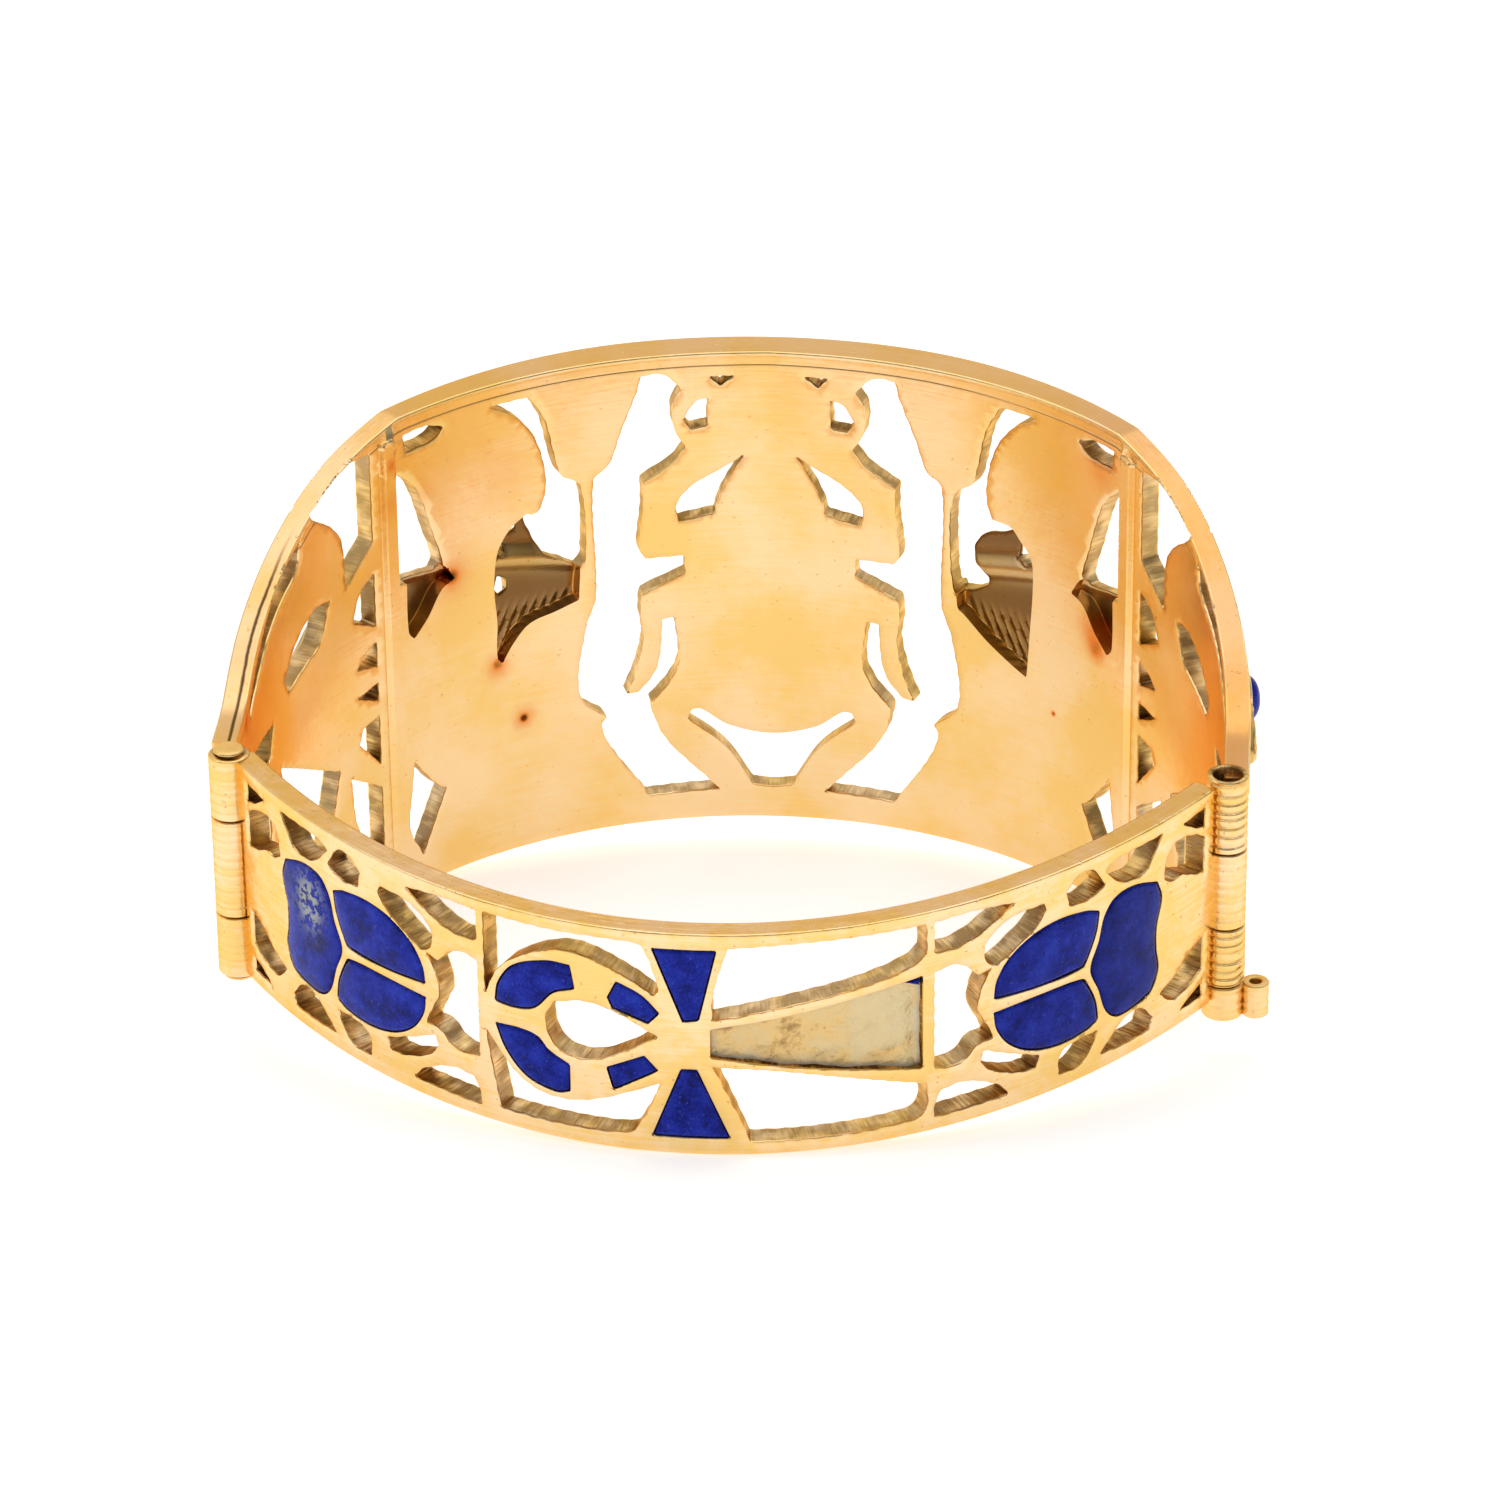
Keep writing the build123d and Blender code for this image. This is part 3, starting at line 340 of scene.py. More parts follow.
def back_line():
    """The back half's outer face: an ellipse arc that bows towards the viewer."""
    x_radius = HINGE_HALF / math.sin(BACK_END_ANGLE)
    y_radius = BACK_DEPTH / (1 - math.cos(BACK_END_ANGLE))
    t = np.linspace(-BACK_END_ANGLE, BACK_END_ANGLE, 3001)
    return wall_line(x_radius * np.sin(t), y_radius - BACK_DEPTH - y_radius * np.cos(t), -1)


def front_line():
    """The front half's inner face, from left to right: a straight run, half an ellipse and a straight
    run."""
    t = np.linspace(-np.pi / 2, np.pi / 2, 4001)
    x = FRONT_INNER_HALF * np.sin(t)
    y = FRONT_STRAIGHT + (FRONT_DEPTH - FRONT_STRAIGHT) * np.cos(t)
    run = np.linspace(-1.5, FRONT_STRAIGHT, 400, endpoint=False)
    sides = np.full(400, FRONT_INNER_HALF)
    return wall_line(np.concatenate((-sides, x, sides)), np.concatenate((run, y, run[::-1])), 1)


BACK = back_line()
FRONT = front_line()
BACK_REACH = BACK["s"][-1]
FRONT_REACH = FRONT["s"][-1] - 1.5


def half_height(s):
    """The front half's half height at a distance along: cubic pieces through the taper's points, over
    y."""
    y, z = np.array(TAPER).T
    slope = np.gradient(z, y)
    slope[0] = 0.0
    q = np.clip(np.interp(s, FRONT["s"], FRONT["y"]), y[0], y[-1])
    i = np.clip(np.searchsorted(y, q) - 1, 0, len(y) - 2)
    span = y[i + 1] - y[i]
    u = (q - y[i]) / span
    return ((1 + 2 * u) * (1 - u) ** 2 * z[i] + u * (1 - u) ** 2 * span * slope[i]
            + u * u * (3 - 2 * u) * z[i + 1] + u * u * (u - 1) * span * slope[i + 1])


def in_panel(shape, panel):
    """Shares of a panel to millimetres along and up."""
    start, length, height = panel
    return np.array(shape, float) * (length, height) + (start, 0)


def both_ways(shape):
    """A half outline that starts and ends on the middle line, closed with its mirror image."""
    half = np.array(shape, float)
    return np.vstack((half, half[-2:0:-1] * (-1, 1)))


def back_side(side):
    """The panel beside the ankh."""
    return side * BACK_SIDE_START, side * BACK_SIDE_LENGTH, BACK_WINDOW_HEIGHT


def scarab_side(side):
    """One half of the scarab's panel."""
    return 0.0, side * SCARAB_HALF, FRONT_WINDOW_HEIGHT


def figure_side(side):
    """A figure's panel."""
    return side * FIGURE_START, side * FIGURE_LENGTH, FRONT_WINDOW_HEIGHT


def flank_side(side):
    """A falcon's panel."""
    return side * SIDE_START, side * SIDE_LENGTH, FRONT_WINDOW_HEIGHT


# Outlines

def signed_area(loop):
    """A closed line's area, negative where it runs clockwise."""
    x, y = loop.T
    return np.sum(x * np.roll(y, -1) - np.roll(x, -1) * y) / 2


def anticlockwise(loop):
    """The same closed line, run anticlockwise."""
    return loop if signed_area(loop) > 0 else loop[::-1]


def even(loop, pitch):
    """A closed line respaced evenly along its length."""
    closed = np.vstack((loop, loop[:1]))
    run = np.concatenate(([0.0], np.cumsum(np.hypot(*np.diff(closed, axis=0).T))))
    at = np.linspace(0, run[-1], max(8, int(round(run[-1] / pitch))), endpoint=False)
    return np.column_stack((np.interp(at, run, closed[:, 0]), np.interp(at, run, closed[:, 1])))


def smooth(points, pitch, corner=52.0):
    """A closed line through given points: cubic pieces whose direction at a point leans
    towards the longer neighbour's chord, broken where the line turns more than a corner's angle, then
    respaced evenly."""
    p = anticlockwise(np.asarray(points, float))
    ahead = np.roll(p, -1, 0) - p
    length = np.hypot(*ahead.T)[:, None]
    ahead_way = ahead / length
    behind_way = np.roll(ahead_way, 1, 0)
    behind_length = np.roll(length, 1, 0)
    turn = np.degrees(np.arccos(np.clip(np.sum(ahead_way * behind_way, 1), -1, 1)))[:, None]
    mean = ahead_way * length + behind_way * behind_length
    mean /= np.hypot(*mean.T)[:, None]
    leave = np.where(turn > corner, ahead_way, mean) * length
    arrive = np.roll(np.where(turn > corner, behind_way, mean), -1, 0) * length
    u = np.linspace(0, 1, 12, endpoint=False)[None, :, None]
    end = np.roll(p, -1, 0)
    curve = ((1 + 2 * u) * (1 - u) ** 2 * p[:, None] + u * (1 - u) ** 2 * leave[:, None]
             + u * u * (3 - 2 * u) * end[:, None] + u * u * (u - 1) * arrive[:, None])
    return even(curve.reshape(-1, 2), pitch)


def moved_in(loop, distance):
    """A closed line moved to its left by a distance, along the mean of its edges' left-hand
    directions."""
    edge = np.roll(loop, -1, 0) - loop
    edge /= np.hypot(*edge.T)[:, None]
    way = edge + np.roll(edge, 1, 0)
    way /= np.maximum(np.hypot(*way.T)[:, None], 1e-6)
    return loop + distance * np.column_stack((-way[:, 1], way[:, 0]))


def nearest(points, a, b, reach):
    """Each point's distance to the nearest of the edges from a to b, up to a reach, found strip by
    strip."""
    found = np.full(len(points), float(reach))
    strip = np.floor(points[:, 0]).astype(int)
    for k in np.unique(strip):
        mine = np.flatnonzero(strip == k)
        near = (np.minimum(a[:, 0], b[:, 0]) < k + 1 + reach) & (np.maximum(a[:, 0], b[:, 0]) > k - reach)
        if not near.any():
            continue
        start, way = a[near][None], (b - a)[near][None]
        gap = points[mine][:, None] - start
        t = np.clip(np.sum(gap * way, 2) / np.maximum(np.sum(way * way, 2), 1e-12), 0, 1)[..., None]
        far = np.sqrt(np.min(np.sum((gap - t * way) ** 2, 2), 1))
        found[mine] = np.minimum(far, reach)
    return found


def clearance(points, loops, reach=1.5):
    """Each point's distance to the nearest of some closed lines, up to a reach."""
    return nearest(points, np.vstack(loops), np.vstack([np.roll(loop, -1, 0) for loop in loops]), reach)


def engraving(s, z, rise):
    """What is carved in the front half's outer face, from 0 to 1: the tables' lines on the figures,
    falcons and scarab, and even grooves for the wig's strands, the collar's rows, the pleats, the
    feathers and the scarab's legs. Each set of grooves is a wave of one distance, and ends where its own
    field ends."""
    a = np.abs(s) - FIGURE_START
    on_figure = a < FIGURE_LENGTH
    lines = carved(np.column_stack((a, z)), FIGURE_LINES, LINE_WIDTH) * on_figure
    edge_at, edge_up = np.array(WIG_EDGE).T
    behind = a - np.interp(z, edge_up, edge_at)
    wig = step(behind, 0.15, 0.3) * (a < 12.0) * (z > 5.3) * (z < 14.3)
    strands = 0.75 * waves(behind + 0.25 * np.maximum(0, z - 11), 0.72) * wig
    across, down = a - COLLAR_AT[0], COLLAR_AT[1] - z
    ring = np.hypot(across, down)
    in_collar = step(ring, 2.4, 2.6) * step(5.9 - ring, 0, 0.2) * (z < 4.6) * (a > 5.5) * on_figure
    collar = waves(ring, 0.95) * in_collar
    beads = 0.6 * waves(np.arctan2(across, down) * ring, 0.9) * (collar > 0.02)
    fan = np.arctan2(a - 9.0, 3.0 - z) * np.maximum(3.0 - z, 1)
    pleats = 0.8 * waves(fan, 0.95) * step(-z, 4.9, 5.1) * step(12.2 + z, 0, 0.3) * (a > 2) * (a < 13.4)
    on_legs = (np.abs(s) < 9.3) * (np.abs(s) > 0.545 * SCARAB_HALF) * (np.abs(z) < 13.6)
    legs = 0.55 * waves(z + 0.35 * np.abs(s), 0.85) * on_legs
    body = carved(np.column_stack((np.abs(s), z)), SCARAB_LINES, LINE_WIDTH) * (np.abs(s) < 5)
    f = np.abs(s) - SIDE_START
    on_side = f > 0.9
    feathers = 0.8 * waves(0.5 * f + z + 0.5 * np.sin(1.9 * f), 0.95) * (f > 7.4) * (z > 2.2) * on_side
    tail = 0.8 * waves(f - 0.2 * z, 0.9) * (f > 4) * (f < 11) * (z < 0.6) * (z > -4) * on_side
    falcon = carved(np.column_stack((f, z)), FALCON_LINES, LINE_WIDTH) * on_side
    on_relief = step(rise, 0.4, 0.8) * np.maximum.reduce([strands, collar, beads, pleats, feathers, tail])
    return np.maximum.reduce([on_relief, lines, legs, body, falcon])


def carved(points, lines, width):
    """How deep lines are carved at each point, from 0 to 1: a bell curve of the distance over the line's
    width. The lines are rounded first, by cubic pieces through their points."""
    starts, ends = [], []
    u = np.linspace(0, 1, 6)[None, :, None]
    for line in lines:
        p = np.array(line, float)
        way = np.gradient(p, axis=0)[:, None]
        p = p[:, None]
        curve = ((1 + 2 * u) * (1 - u) ** 2 * p[:-1] + u * (1 - u) ** 2 * way[:-1]
                 + u * u * (3 - 2 * u) * p[1:] + u * u * (u - 1) * way[1:]).reshape(-1, 2)
        starts.append(curve[:-1])
        ends.append(curve[1:])
    return np.exp(-(nearest(points, np.vstack(starts), np.vstack(ends), 3 * width) / width) ** 2)


def waves(value, pitch):
    """Even grooves across a value, 0 on the ridges and 1 in the grooves."""
    return 0.5 - 0.5 * np.cos(2 * np.pi * value / pitch)


def hand_cut(loop):
    """An outline with a hand-held saw's small wander: each place moved by slow waves of its
    coordinates."""
    x, y = loop.T
    return loop + 0.022 * np.column_stack((np.sin(6.3 * y + 2.1 * x), np.sin(5.7 * x - 3.9 * y)))


def rounded(shapes, panel, pitch, corner=52.0):
    """Outlines from shares of a panel, rounded."""
    return [smooth(in_panel(shape, panel), pitch, corner) for shape in shapes]


def sawn(shapes, panel, pitch):
    """Window outlines from shares of a panel, rounded and with the saw's wander."""
    return [hand_cut(loop) for loop in rounded(shapes, panel, pitch)]


def inside(points, loops):
    """Whether each point is inside an odd number of closed lines: counts the edges straight above it."""
    a = np.vstack(loops)
    b = np.vstack([np.roll(loop, -1, 0) for loop in loops])
    found = np.zeros(len(points), bool)
    strip = np.floor(points[:, 0]).astype(int)
    for k in np.unique(strip):
        mine = np.flatnonzero(strip == k)
        near = (np.minimum(a[:, 0], b[:, 0]) < k + 1) & (np.maximum(a[:, 0], b[:, 0]) > k)
        if not near.any():
            continue
        x, y = points[mine].T[:, :, None]
        ax, ay, bx, by = a[near, 0], a[near, 1], b[near, 0], b[near, 1]
        across = (ax > x) != (bx > x)
        run = np.where(bx == ax, 1.0, bx - ax)
        above = ay + (x - ax) * (by - ay) / run > y
        found[mine] = np.sum(across & above, 1) % 2 == 1
    return found


def depth_in(points, loops, reach=1.5):
    """Signed distance: how far each point lies inside closed lines, negative outside."""
    far = clearance(points, loops, reach)
    return np.where(inside(points, loops), far, -far)


def step(value, low, high):
    """A smooth rise from 0 at low to 1 at high."""
    u = np.clip((value - low) / (high - low), 0, 1)
    return u * u * (3 - 2 * u)


def fall(distance, radius):
    """How far a rounded edge has dropped at a distance from it: a quarter circle."""
    short = radius - np.clip(distance, 0, radius)
    return radius - np.sqrt(np.maximum(radius * radius - short * short, 0))


def hexagons(low, high, pitch):
    """Points of a grid of even triangles over a rectangle."""
    x, y = np.meshgrid(np.arange(low[0], high[0], pitch), np.arange(low[1], high[1], pitch * 0.866))
    x = x + pitch / 2 * (np.arange(len(x)) % 2)[:, None]
    return np.column_stack((x.ravel(), y.ravel()))


# Meshes

def flat_mesh(loops, rows, pitch, fine=(), fine_pitch=0.25):
    """Points and triangles over the metal between closed lines (inside an odd number of them). The lines'
    own points come first. Rows of points run beside the lines, and a grid fills the rest, finer inside
    the fine outlines. The triangles are held to the lines."""
    extra = []
    for distance in rows:
        for loop, side in [(loop, 1) for loop in loops] + [(loop, -1) for loop in loops[1:]]:
            extra.append(moved_in(loop, side * distance))
    beside = np.vstack(extra)
    keep = inside(beside, loops) & (clearance(beside, loops) > 0.8 * min(rows))
    beside = beside[keep]
    low, high = np.vstack(loops).min(0), np.vstack(loops).max(0)
    grid = hexagons(low, high, pitch)
    if fine:
        dense = hexagons(low, high, fine_pitch)
        in_fine = [np.logical_or.reduce([inside(g, [f]) for f in fine]) for g in (grid, dense)]
        grid = np.vstack((grid[~in_fine[0]], dense[in_fine[1]]))
        edge_rows = np.vstack([moved_in(f, d) for f in fine for d in FIELD_ROWS])
        edge_rows = edge_rows[inside(edge_rows, loops)]
        edge_rows = edge_rows[clearance(edge_rows, loops) > 0.05]
        grid = grid[clearance(grid, fine) > 0.27]
        beside = beside[clearance(beside, fine) > 0.05]
        beside = np.vstack((beside, edge_rows))
    grid = grid[inside(grid, loops) & (clearance(grid, loops) > max(rows) + 0.3 * min(pitch, fine_pitch))]
    free = np.vstack((beside, grid))
    free = free[np.unique(np.round(free / SAME_PLACE), axis=0, return_index=True)[1]]
    lines = np.vstack(loops)
    points = np.vstack((lines, free))
    first = np.cumsum([0] + [len(loop) for loop in loops])
    edges = np.vstack([np.column_stack((np.arange(n), np.roll(np.arange(n), -1))) + start
                       for n, start in zip(map(len, loops), first)])
    made = delaunay_2d_cdt(points.tolist(), edges.tolist(), [], 0, 1e-6, False)
    if len(made[0]) != len(points):
        raise RuntimeError(f"outlines meet: {len(made[0]) - len(points)} points too many")
    triangles = np.array(made[2])
    middle = points[triangles].mean(1)
    triangles = triangles[inside(middle, loops)]
    corner = points[triangles]
    area = np.cross(corner[:, 1] - corner[:, 0], corner[:, 2] - corner[:, 0])
    triangles[area < 0] = triangles[area < 0][:, ::-1]
    return points, triangles, first


def band_faces(a, b):
    """Triangles of the strip between two closed rows of points with the same count."""
    a2, b2 = np.roll(a, -1), np.roll(b, -1)
    return np.vstack((np.column_stack((a, b, b2)), np.column_stack((a, b2, a2))))


def grid_faces(rows, columns, closed=False):
    """Triangles of a grid of places whose rows close on themselves, and its columns too if it is
    closed."""
    index = np.arange(rows * columns).reshape(rows, columns)
    if closed:
        index = np.vstack((index, index[:1]))
    a, b = index[:-1], index[1:]
    a2, b2 = np.roll(a, -1, 1), np.roll(b, -1, 1)
    return np.vstack((np.stack((a, a2, b2), 2).reshape(-1, 3), np.stack((a, b2, b), 2).reshape(-1, 3)))


class Shape:
    """Pieces of surface gathered into one mesh: places, triangles and values for each place."""

    def __init__(self):
        """Starts without pieces."""
        self.parts = []
        self.count = 0

    def add(self, upright, triangles, **values):
        """Adds a surface in upright millimetres with its values."""
        self.parts.append((upright, np.asarray(triangles) + self.count, values))
        self.count += len(upright)

    def finish(self, name, body, node, material, slot, sharp=38.0):
        """Makes the Blender object, in resting metres, on its body, standing for its CAD node."""
        co = to_rest(np.vstack([p[0] for p in self.parts]))
        faces = np.vstack([p[1] for p in self.parts]).astype(np.int32)
        mesh = bpy.data.meshes.new(name)
        mesh.vertices.add(len(co))
        mesh.vertices.foreach_set("co", co.ravel().astype(np.float32))
        mesh.loops.add(faces.size)
        mesh.loops.foreach_set("vertex_index", faces.ravel())
        mesh.polygons.add(len(faces))
        mesh.polygons.foreach_set("loop_start", np.arange(0, faces.size, 3, dtype=np.int32))
        mesh.update(calc_edges=True)
        mesh.validate()
        keys = sorted({k for p in self.parts for k in p[2]})
        for key in keys:
            data = [np.asarray(p[2].get(key, 0.0), float) for p in self.parts]
            if key == "place":
                data = [np.broadcast_to(d, (len(p[0]), 3)) for d, p in zip(data, self.parts)]
                layer = mesh.attributes.new(key, "FLOAT_VECTOR", "POINT")
                layer.data.foreach_set("vector", np.vstack(data).astype(np.float32).ravel())
            else:
                data = [np.broadcast_to(d, len(p[0])) for d, p in zip(data, self.parts)]
                layer = mesh.attributes.new(key, "FLOAT", "POINT")
                layer.data.foreach_set("value", np.concatenate(data).astype(np.float32))
        mesh.polygons.foreach_set("use_smooth", np.ones(len(faces), bool))
        mesh.set_sharp_from_angle(angle=math.radians(sharp))
        mesh.materials.append(material)
        obj = bpy.data.objects.new(name, mesh)
        bpy.context.scene.collection.objects.link(obj)
        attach(obj, body)
        if node:
            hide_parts(node)


def slab(shape, line, loops, top, bottom, rows, pitch, round_edge, shared=None, fine=(), fine_below=(),
         fine_pitch=0.25, values=None, values_below=None, rim_values=None):
    """A plate on a wall between closed lines: a top and a bottom skin, each a height over the flat places
    that drops by a quarter circle at the edges. The first lines, the shared ones, go straight through as
    walls. The others are pockets in the top skin, each with a wall of its own and a bed. The walls of
    small windows are darker than those of large ones, as painted shade in the narrower holes."""
    shared = len(loops) if shared is None else shared
    values_below = values if values_below is None else values_below
    upper, upper_faces, first = flat_mesh(loops, rows, pitch, fine, fine_pitch)
    lower, lower_faces, _ = flat_mesh(loops[:shared], rows, pitch, fine_below, fine_pitch)
    top_place = np.column_stack((upper, top(upper) - fall(clearance(upper, loops), round_edge)))
    low_place = np.column_stack((lower, bottom(lower) + fall(clearance(lower, loops[:shared]), round_edge)))
    shape.add(lift(line, top_place), upper_faces, place=top_place, **(values(upper) if values else {}))
    shape.add(lift(line, low_place), lower_faces[:, ::-1], place=low_place,
              **(values_below(lower) if values_below else {}))
    for k, loop in enumerate(loops):
        n = len(loop)
        rim = top_place[first[k]:first[k + 1]]
        strip = band_faces(np.arange(n), np.arange(n) + n)
        if k < shared:
            ring = np.vstack((rim, low_place[first[k]:first[k + 1]]))
            if k:
                # painted shade: the walls of smaller windows are darker
                small = math.exp(-abs(signed_area(loop)) / WINDOW_SHADE_AREA)
                more = {"wall": WALL_DARK + (1 - WALL_DARK) * small}
            else:
                more = rim_values(ring) if rim_values else {"solder": RIM_TINT}
            shape.add(lift(line, ring), strip, place=ring, below=NO_SEAM, **more)
        else:
            ring = np.vstack((rim, rim - (0, 0, POCKET_DEPTH)))
            shape.add(lift(line, ring), strip, place=ring, wall=1.0, below=NO_SEAM)
            flat, faces, _ = flat_mesh([anticlockwise(loop)], (0.2,), 0.5)
            bed = np.column_stack((flat, top(flat) - round_edge - POCKET_DEPTH))
            shape.add(lift(line, bed), faces, place=bed, wall=1.0, below=NO_SEAM)


def revolve(profile, x, steps=72):
    """A surface turned about the upright line at x: rows of (radius, height), each carried round."""
    r, z = np.array(profile, float).T
    t = np.linspace(0, 2 * np.pi, steps, endpoint=False)
    shape = (len(r), steps)
    up, out = np.broadcast_to(z[:, None], shape), np.broadcast_to(r[:, None], shape)
    places = np.stack((x + out * np.cos(t), out * np.sin(t), up), 2)
    around = np.stack((np.broadcast_to(t * TUBE_RADIUS, shape), up, out), 2)
    return places.reshape(-1, 3), grid_faces(*shape), around.reshape(-1, 3)


def groove_dark(around, rib):
    """How dark a ribbed tube is: tarnish in the grooves, and darker inside the bore."""
    radius = around[:, 2]
    in_groove = step(TUBE_RADIUS - radius, 0.35 * rib, rib) * (radius > TUBE_RADIUS - 1.3 * rib)
    return np.where(radius < 1.0, 0.9, 0.4 * in_groove * min(1.0, rib / 0.08))


def quarter(radius, z, edge, start, steps=5):
    """Rows of a rounded rim: a quarter circle of the edge's size, its start given in quarter turns."""
    t = (start + np.linspace(0, 1, steps)) * np.pi / 2
    return np.column_stack((radius + edge * np.cos(t), z + edge * np.sin(t)))


def knuckle(low, high, bore, rib, rib_pitch, radius=TUBE_RADIUS, edge=0.1):
    """Rows of a tube's wall, up the outside with ribs, over the top, and down the bore: the ribs are a
    rectified wave of the height, like wire wound side by side."""
    z = np.arange(low + 1.5 * edge, high - 1.5 * edge, rib_pitch / 8)
    drift = 0.12 * np.sin(2.3 * z) + 0.07 * np.sin(5.9 * z + 1.0)
    wave = np.abs(np.sin(np.pi * ((z - low) / rib_pitch + drift))) ** 0.6
    outside = np.column_stack((radius - rib * (1 - wave), z))
    return np.vstack((
        [(bore, low + edge / 2)], quarter(radius - edge, low + edge, edge, -1), outside,
        quarter(radius - edge, high - edge, edge, 0), quarter(bore + edge, high - edge, edge, 1),
        [(bore, low + edge / 2)]))


def add_knuckles(shape, table, pitch):
    """Adds a table's ribbed tubes to a shape."""
    for x, low, high, bore, rib in table:
        rows, faces, around = revolve(knuckle(low, high, bore, rib, pitch), x)
        shape.add(rows, faces, place=around, wall=groove_dark(around, rib), below=NO_SEAM)


# Materials

class Wiring:
    """A node tree being wired: a method adds a node, joins its inputs and gives back its output."""

    def __init__(self, tree):
        """Keeps the tree's nodes and links."""
        self.nodes, self.links = tree.nodes, tree.links

    def join(self, value, wanted):
        """Links a socket to an input, or sets the input to a number or a colour."""
        if isinstance(value, bpy.types.NodeSocket):
            self.links.new(value, wanted)
        elif isinstance(value, (int, float)):
            wanted.default_value = value
        else:
            wanted.default_value = (*value, 1)

    def sums(self, kind, a, b, clamp=False):
        """A Math node over two values."""
        made = self.nodes.new("ShaderNodeMath")
        made.operation = kind
        made.use_clamp = clamp
        made.inputs[2].default_value = 0.5
        self.join(a, made.inputs[0])
        self.join(b, made.inputs[1])
        return made.outputs[0]

    def plus(self, a, b):
        """The sum of two values."""
        return self.sums("ADD", a, b)

    def minus(self, a, b, clamp=False):
        """The difference of two values."""
        return self.sums("SUBTRACT", a, b, clamp)

    def times(self, a, b, clamp=False):
        """The product of two values."""
        return self.sums("MULTIPLY", a, b, clamp)

    def noise(self, vector, scale, detail, rough, stretch=None):
        """A noise texture over a vector, which is stretched first if a stretch is given."""
        if stretch:
            scaled = self.nodes.new("ShaderNodeVectorMath")
            scaled.operation = "MULTIPLY"
            scaled.inputs[1].default_value = stretch
            self.links.new(vector, scaled.inputs[0])
            vector = scaled.outputs[0]
        made = self.nodes.new("ShaderNodeTexNoise")
        for name, value in (("Scale", scale), ("Detail", detail), ("Roughness", rough)):
            made.inputs[name].default_value = value
        self.links.new(vector, made.inputs["Vector"])
        return made.outputs["Fac"]

    def ramp(self, value, stops):
        """A colour ramp with its stops as (place, colour or grey)."""
        made = self.nodes.new("ShaderNodeValToRGB")
        elements = made.color_ramp.elements
        elements[0].position, elements[1].position = stops[0][0], stops[-1][0]
        for place, _ in stops[1:-1]:
            elements.new(place)
        for element, (_, colour) in zip(elements, stops):
            grey = isinstance(colour, (int, float))
            element.color = (colour, colour, colour, 1) if grey else (*colour, 1)
        self.links.new(value, made.inputs[0])
        return made.outputs[0]

    def mix(self, factor, a, b, kind="MIX"):
        """A colour mix whose factor and colours are sockets or plain values."""
        made = self.nodes.new("ShaderNodeMix")
        made.data_type = "RGBA"
        made.blend_type = kind
        for name, value, wanted in (("Factor", factor, "VALUE"), ("A", a, "RGBA"), ("B", b, "RGBA")):
            self.join(value, next(i for i in made.inputs if i.name == name and i.type == wanted))
        return next(o for o in made.outputs if o.type == "RGBA")

    def read(self, name, output="Fac"):
        """One of the mesh's own values."""
        made = self.nodes.new("ShaderNodeAttribute")
        made.attribute_name = name
        return made.outputs[output]

    def raised(self, shader, height, distance=0.001):
        """Joins a height in millimetres to the shader's normal."""
        bump = self.nodes.new("ShaderNodeBump")
        bump.inputs["Distance"].default_value = distance
        self.links.new(height, bump.inputs["Height"])
        self.links.new(bump.outputs[0], shader.inputs["Normal"])


def new_material(name):
    """An empty node material, its shader and its wiring."""
    material = bpy.data.materials.new(name)
    if material.name != name:
        raise RuntimeError(f"a material is already called {name}")
    material.use_nodes = True
    material.node_tree.nodes.clear()
    wires = Wiring(material.node_tree)
    shader = wires.nodes.new("ShaderNodeBsdfPrincipled")
    wires.links.new(shader.outputs[0], wires.nodes.new("ShaderNodeOutputMaterial").inputs[0])
    return material, shader, wires


def worn_metal_group():
    """Shared wear of hand-worked metal. Patches are slow noise over the surface, saw marks are noise
    drawn out through the thickness of the cut walls, and the height is the sum of dents, brushing, saw
    marks and pits."""
    group = bpy.data.node_groups.new("worn_metal", "ShaderNodeTree")
    for name, kind in (("Place", "Vector"), ("Wall", "Float"), ("Polish", "Float"), ("Marks", "Float")):
        group.interface.new_socket(name, in_out="INPUT", socket_type="NodeSocket" + kind)
    for name in ("Warmth", "Dark", "Roughness", "Height"):
        group.interface.new_socket(name, in_out="OUTPUT", socket_type="NodeSocketFloat")
    w = Wiring(group)
    given = w.nodes.new("NodeGroupInput").outputs
    out = w.nodes.new("NodeGroupOutput").inputs
    place, wall, marks = given["Place"], given["Wall"], given["Marks"]
    patches = w.noise(place, 0.12, 1, 0.5)
    mottle = w.noise(place, 0.8, 2, 0.6)
    brushed = w.noise(place, 1.0, 1, 0.65, (0.22, 4.5, 4.5))
    uneven = w.plus(w.times(mottle, 0.42), w.times(brushed, 0.3))
    uneven = w.times(w.minus(uneven, 0.36), marks)
    w.links.new(w.plus(w.plus(w.times(patches, 0.75), uneven), 0.125), out["Warmth"])
    saw = w.noise(place, 1.0, 2, 0.7, (5.2, 5.2, 0.5))
    grime = w.noise(place, 0.7, 1, 0.6)
    dark = w.plus(w.times(saw, 1.9), w.times(grime, 3.0))
    w.links.new(w.times(w.minus(dark, 1.72, True), wall), out["Dark"])
    rough = w.plus(given["Polish"], w.times(patches, 0.14))
    w.links.new(w.plus(rough, w.times(wall, 0.2)), out["Roughness"])
    dents = w.noise(place, 0.55, 2, 0.62)
    height = w.plus(w.times(dents, 0.05), w.times(w.times(saw, wall), 0.09))
    height = w.plus(height, w.times(brushed, 0.012))
    pits = w.ramp(w.noise(place, 2.9, 1, 0.5), [(0.73, 0.0), (0.77, 1.0)])
    height = w.minus(height, w.times(pits, 0.03))
    w.links.new(w.times(height, marks), out["Height"])


